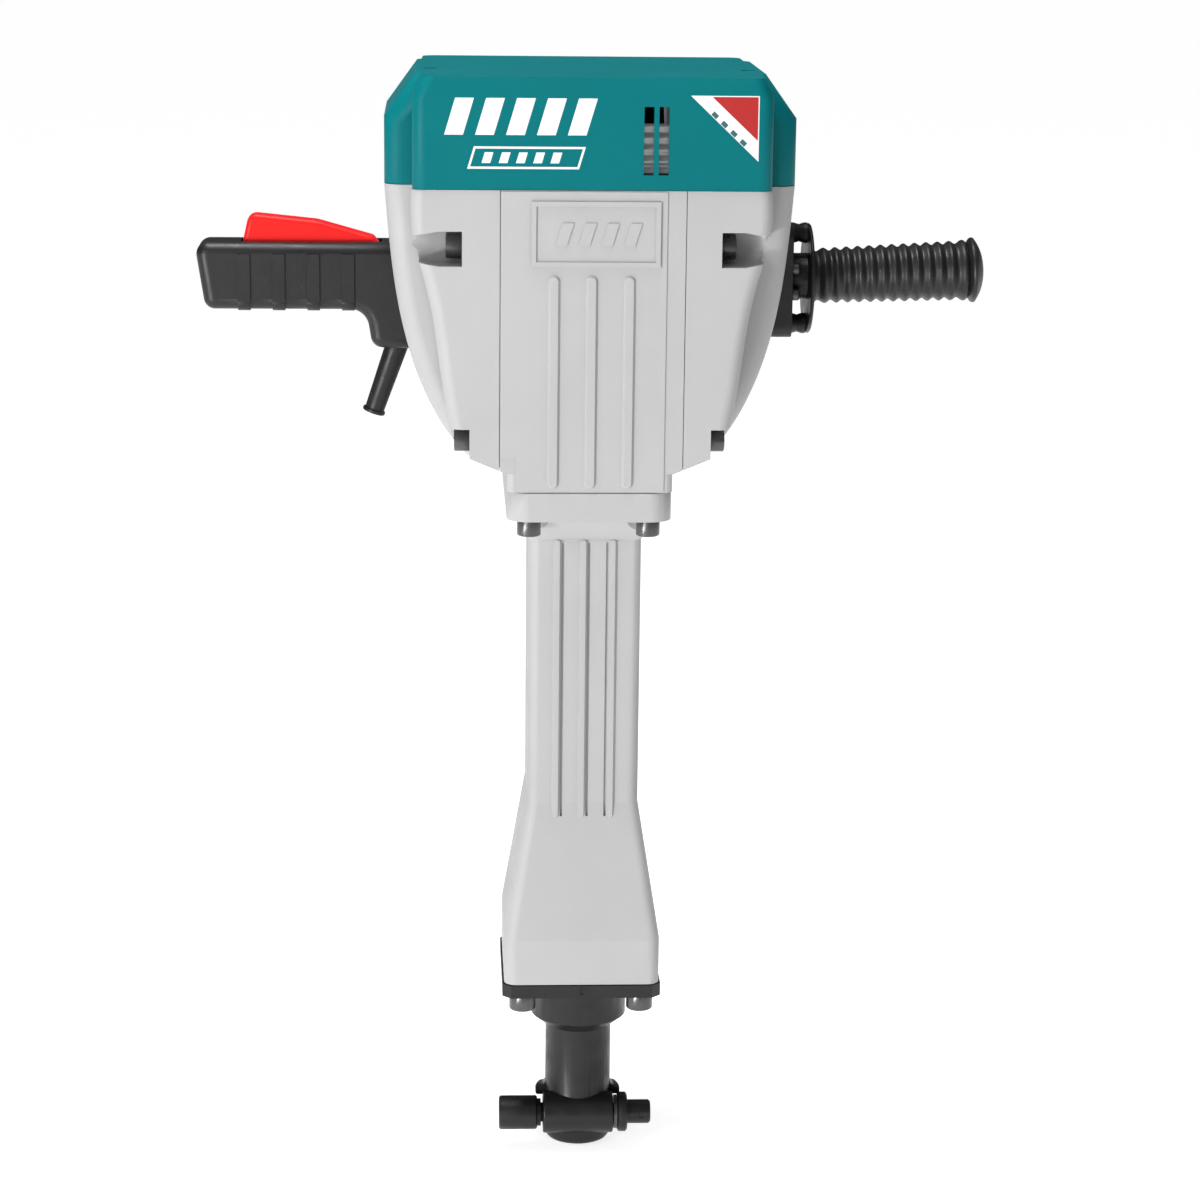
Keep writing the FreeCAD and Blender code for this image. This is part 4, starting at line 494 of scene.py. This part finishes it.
def add_films():
    film("cover_bars", bar_row(BAR_X, BAR_STEP, BAR_WIDTH, BAR_Z), FILM_WHITE)
    film("cover_frame", slanted_frame(*FRAME_X, *FRAME_Z, FRAME_LINE), FILM_WHITE)
    small_bars = bar_row(SMALL_BAR_X, SMALL_BAR_STEP, SMALL_BAR_WIDTH, SMALL_BAR_Z)
    film("cover_frame_bars", small_bars, FILM_WHITE)
    film("corner_sticker", [STICKER], FILM_WHITE)
    film("corner_sticker_red", [STICKER_RED], FILM_RED, lift=FILM_THICK)
    film("corner_sticker_dashes", sticker_dashes(), FILM_DARK, lift=FILM_THICK)


# ---------------------------------------------------------------- spring coils in place of the CAD springs
SPRING_STEPS = 32            # rings per turn of wire
WIRE_SIDES = 12

# Fixed end, direction, mean coil radius, wire radius, length, turns, and the share of the length
# that is left when the joint is at its limit
SPRINGS = {
    ("lock_pin_spring", "lock_pin_pull"): ((21.5, -17.5, 25.0), (1, 0, 0), 10.4, 0.6, 6.1, 2.5, 0.49),
    ("trigger_spring", "trigger_press"): ((-242.0, 0.0, 657.2), (0, 0, 1), 4.5, 0.7, 37.6, 6, 0.73),
}


def coil(start, axis, coil_r, wire_r, length, turns):
    """Round wire wound round axis, with a flat face at each end."""
    side = axis.orthogonal().normalized()
    other = axis.cross(side)
    bm = bmesh.new()
    rings = []
    count = int(turns * SPRING_STEPS)
    for step in range(count + 1):
        turn = 2.0 * math.pi * turns * step / count
        out = side * math.cos(turn) + other * math.sin(turn)
        rise = wire_r + (length - 2.0 * wire_r) * step / count
        centre = start + (out * coil_r + axis * rise) * MM
        ring = []
        for i in range(WIRE_SIDES):
            a = 2.0 * math.pi * i / WIRE_SIDES
            ring.append(bm.verts.new(centre + (out * math.cos(a) + axis * math.sin(a)) * wire_r * MM))
        rings.append(ring)
    for near, far in zip(rings, rings[1:]):
        for i in range(WIRE_SIDES):
            j = (i + 1) % WIRE_SIDES
            bm.faces.new((near[i], near[j], far[j], far[i])).smooth = True
    bm.faces.new(rings[0])
    bm.faces.new(rings[-1])
    return bm


def add_springs():
    for (node, joint), (foot, direction, coil_r, wire_r, length, turns, keep) in SPRINGS.items():
        start = Vector(foot) * MM
        axis = Vector(direction)
        bm = coil(start, axis, coil_r, wire_r, length, turns)
        obj = housing_piece(node + "_coil", bm, MATERIALS["spring_steel"])
        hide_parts(node)
        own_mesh(obj)


# ---------------------------------------------------------------- air guards behind the vents
GUARD_LOW = 757.0
GUARD_HIGH = 797.0
GUARD_PITCH = 8.0            # height of one corrugation
GUARD_WAVE = 0.7
GUARD_THICK = 0.6
GUARD_STEPS = 60             # rows of faces from bottom to top
GUARD_Y = 101.2
GUARD_RIM = ((0.0, 2.2), (0.8, 0.6), (2.0, 0.0))     # distance from the edge, and fold inwards
GUARD_METAL = (0.24, 0.24, 0.245)


def air_guard(name, x0, x1, side):
    """Corrugated aluminium sheet just inside the cover wall, front (side -1) or rear (side 1)."""
    columns = [(x0 + inset, fold) for inset, fold in GUARD_RIM]
    columns += [(x1 - inset, fold) for inset, fold in reversed(GUARD_RIM)]
    gaps = range(len(columns) - 1)
    bm = bmesh.new()
    sheets = []
    for layer in (0.0, GUARD_THICK):
        rows = []
        for step in range(GUARD_STEPS + 1):
            rise = (GUARD_HIGH - GUARD_LOW) * step / GUARD_STEPS
            wave = GUARD_WAVE * math.sin(2.0 * math.pi * rise / GUARD_PITCH)
            row = []
            for x, fold in columns:
                y = side * (GUARD_Y - fold - layer) + wave
                row.append(bm.verts.new((x * MM, y * MM, (GUARD_LOW + rise) * MM)))
            rows.append(row)
        sheets.append(rows)
    for rows in sheets:
        for low, high in zip(rows, rows[1:]):
            for i in gaps:
                bm.faces.new((low[i], low[i + 1], high[i + 1], high[i]))
    near, far = sheets
    for step in range(GUARD_STEPS):
        for i in (0, -1):
            bm.faces.new((near[step][i], near[step + 1][i], far[step + 1][i], far[step][i]))
    for step in (0, -1):
        for i in gaps:
            bm.faces.new((near[step][i], near[step][i + 1], far[step][i + 1], far[step][i]))
    housing_piece(name, bm, cast_aluminium(name, GUARD_METAL, 0.38))


# ---------------------------------------------------------------- worn edges
WELD_GAP = 0.005
EDGE_SEGMENTS = 2
EDGE_ANGLE = math.radians(40)
EDGE_WIDTHS = {
    "crankcase": 0.9, "left_side_cover": 0.9, "right_gear_cover": 0.9, "barrel_housing": 0.8,
    "top_cover": 1.9, "nose_holder": 0.5, "right_handle_bracket": 0.4, "right_handle_disc": 0.3,
    "left_handle_front_shell": 0.4, "left_handle_rear_shell": 0.4, "trigger_lever": 0.3,
    "side_cover_bolts": 0.25, "barrel_bolts": 0.25, "nose_bolts": 0.25, "right_handle_bolts": 0.25,
    "top_cover_screws": 0.2, "lock_pin": 0.3, "lock_pin_collar": 0.3,
}


def soften_edges():
    """Round the sharp edges of the carried-over nodes, as castings and mouldings have them."""
    for name, width in EDGE_WIDTHS.items():
        node = NODES[name]
        weld = node.modifiers.new("weld", "WELD")
        weld.merge_threshold = WELD_GAP * MM
        bevel = node.modifiers.new("edges", "BEVEL")
        bevel.width = width * MM
        bevel.segments = EDGE_SEGMENTS
        bevel.limit_method = "ANGLE"
        bevel.angle_limit = EDGE_ANGLE
        bevel.harden_normals = True


dress_nodes()
soften_edges()
add_films()
add_springs()
air_guard("front_air_guard", 31.0, 57.0, -1)
air_guard("rear_air_guard", -100.0, -44.0, 1)
make_camera()
make_stage()
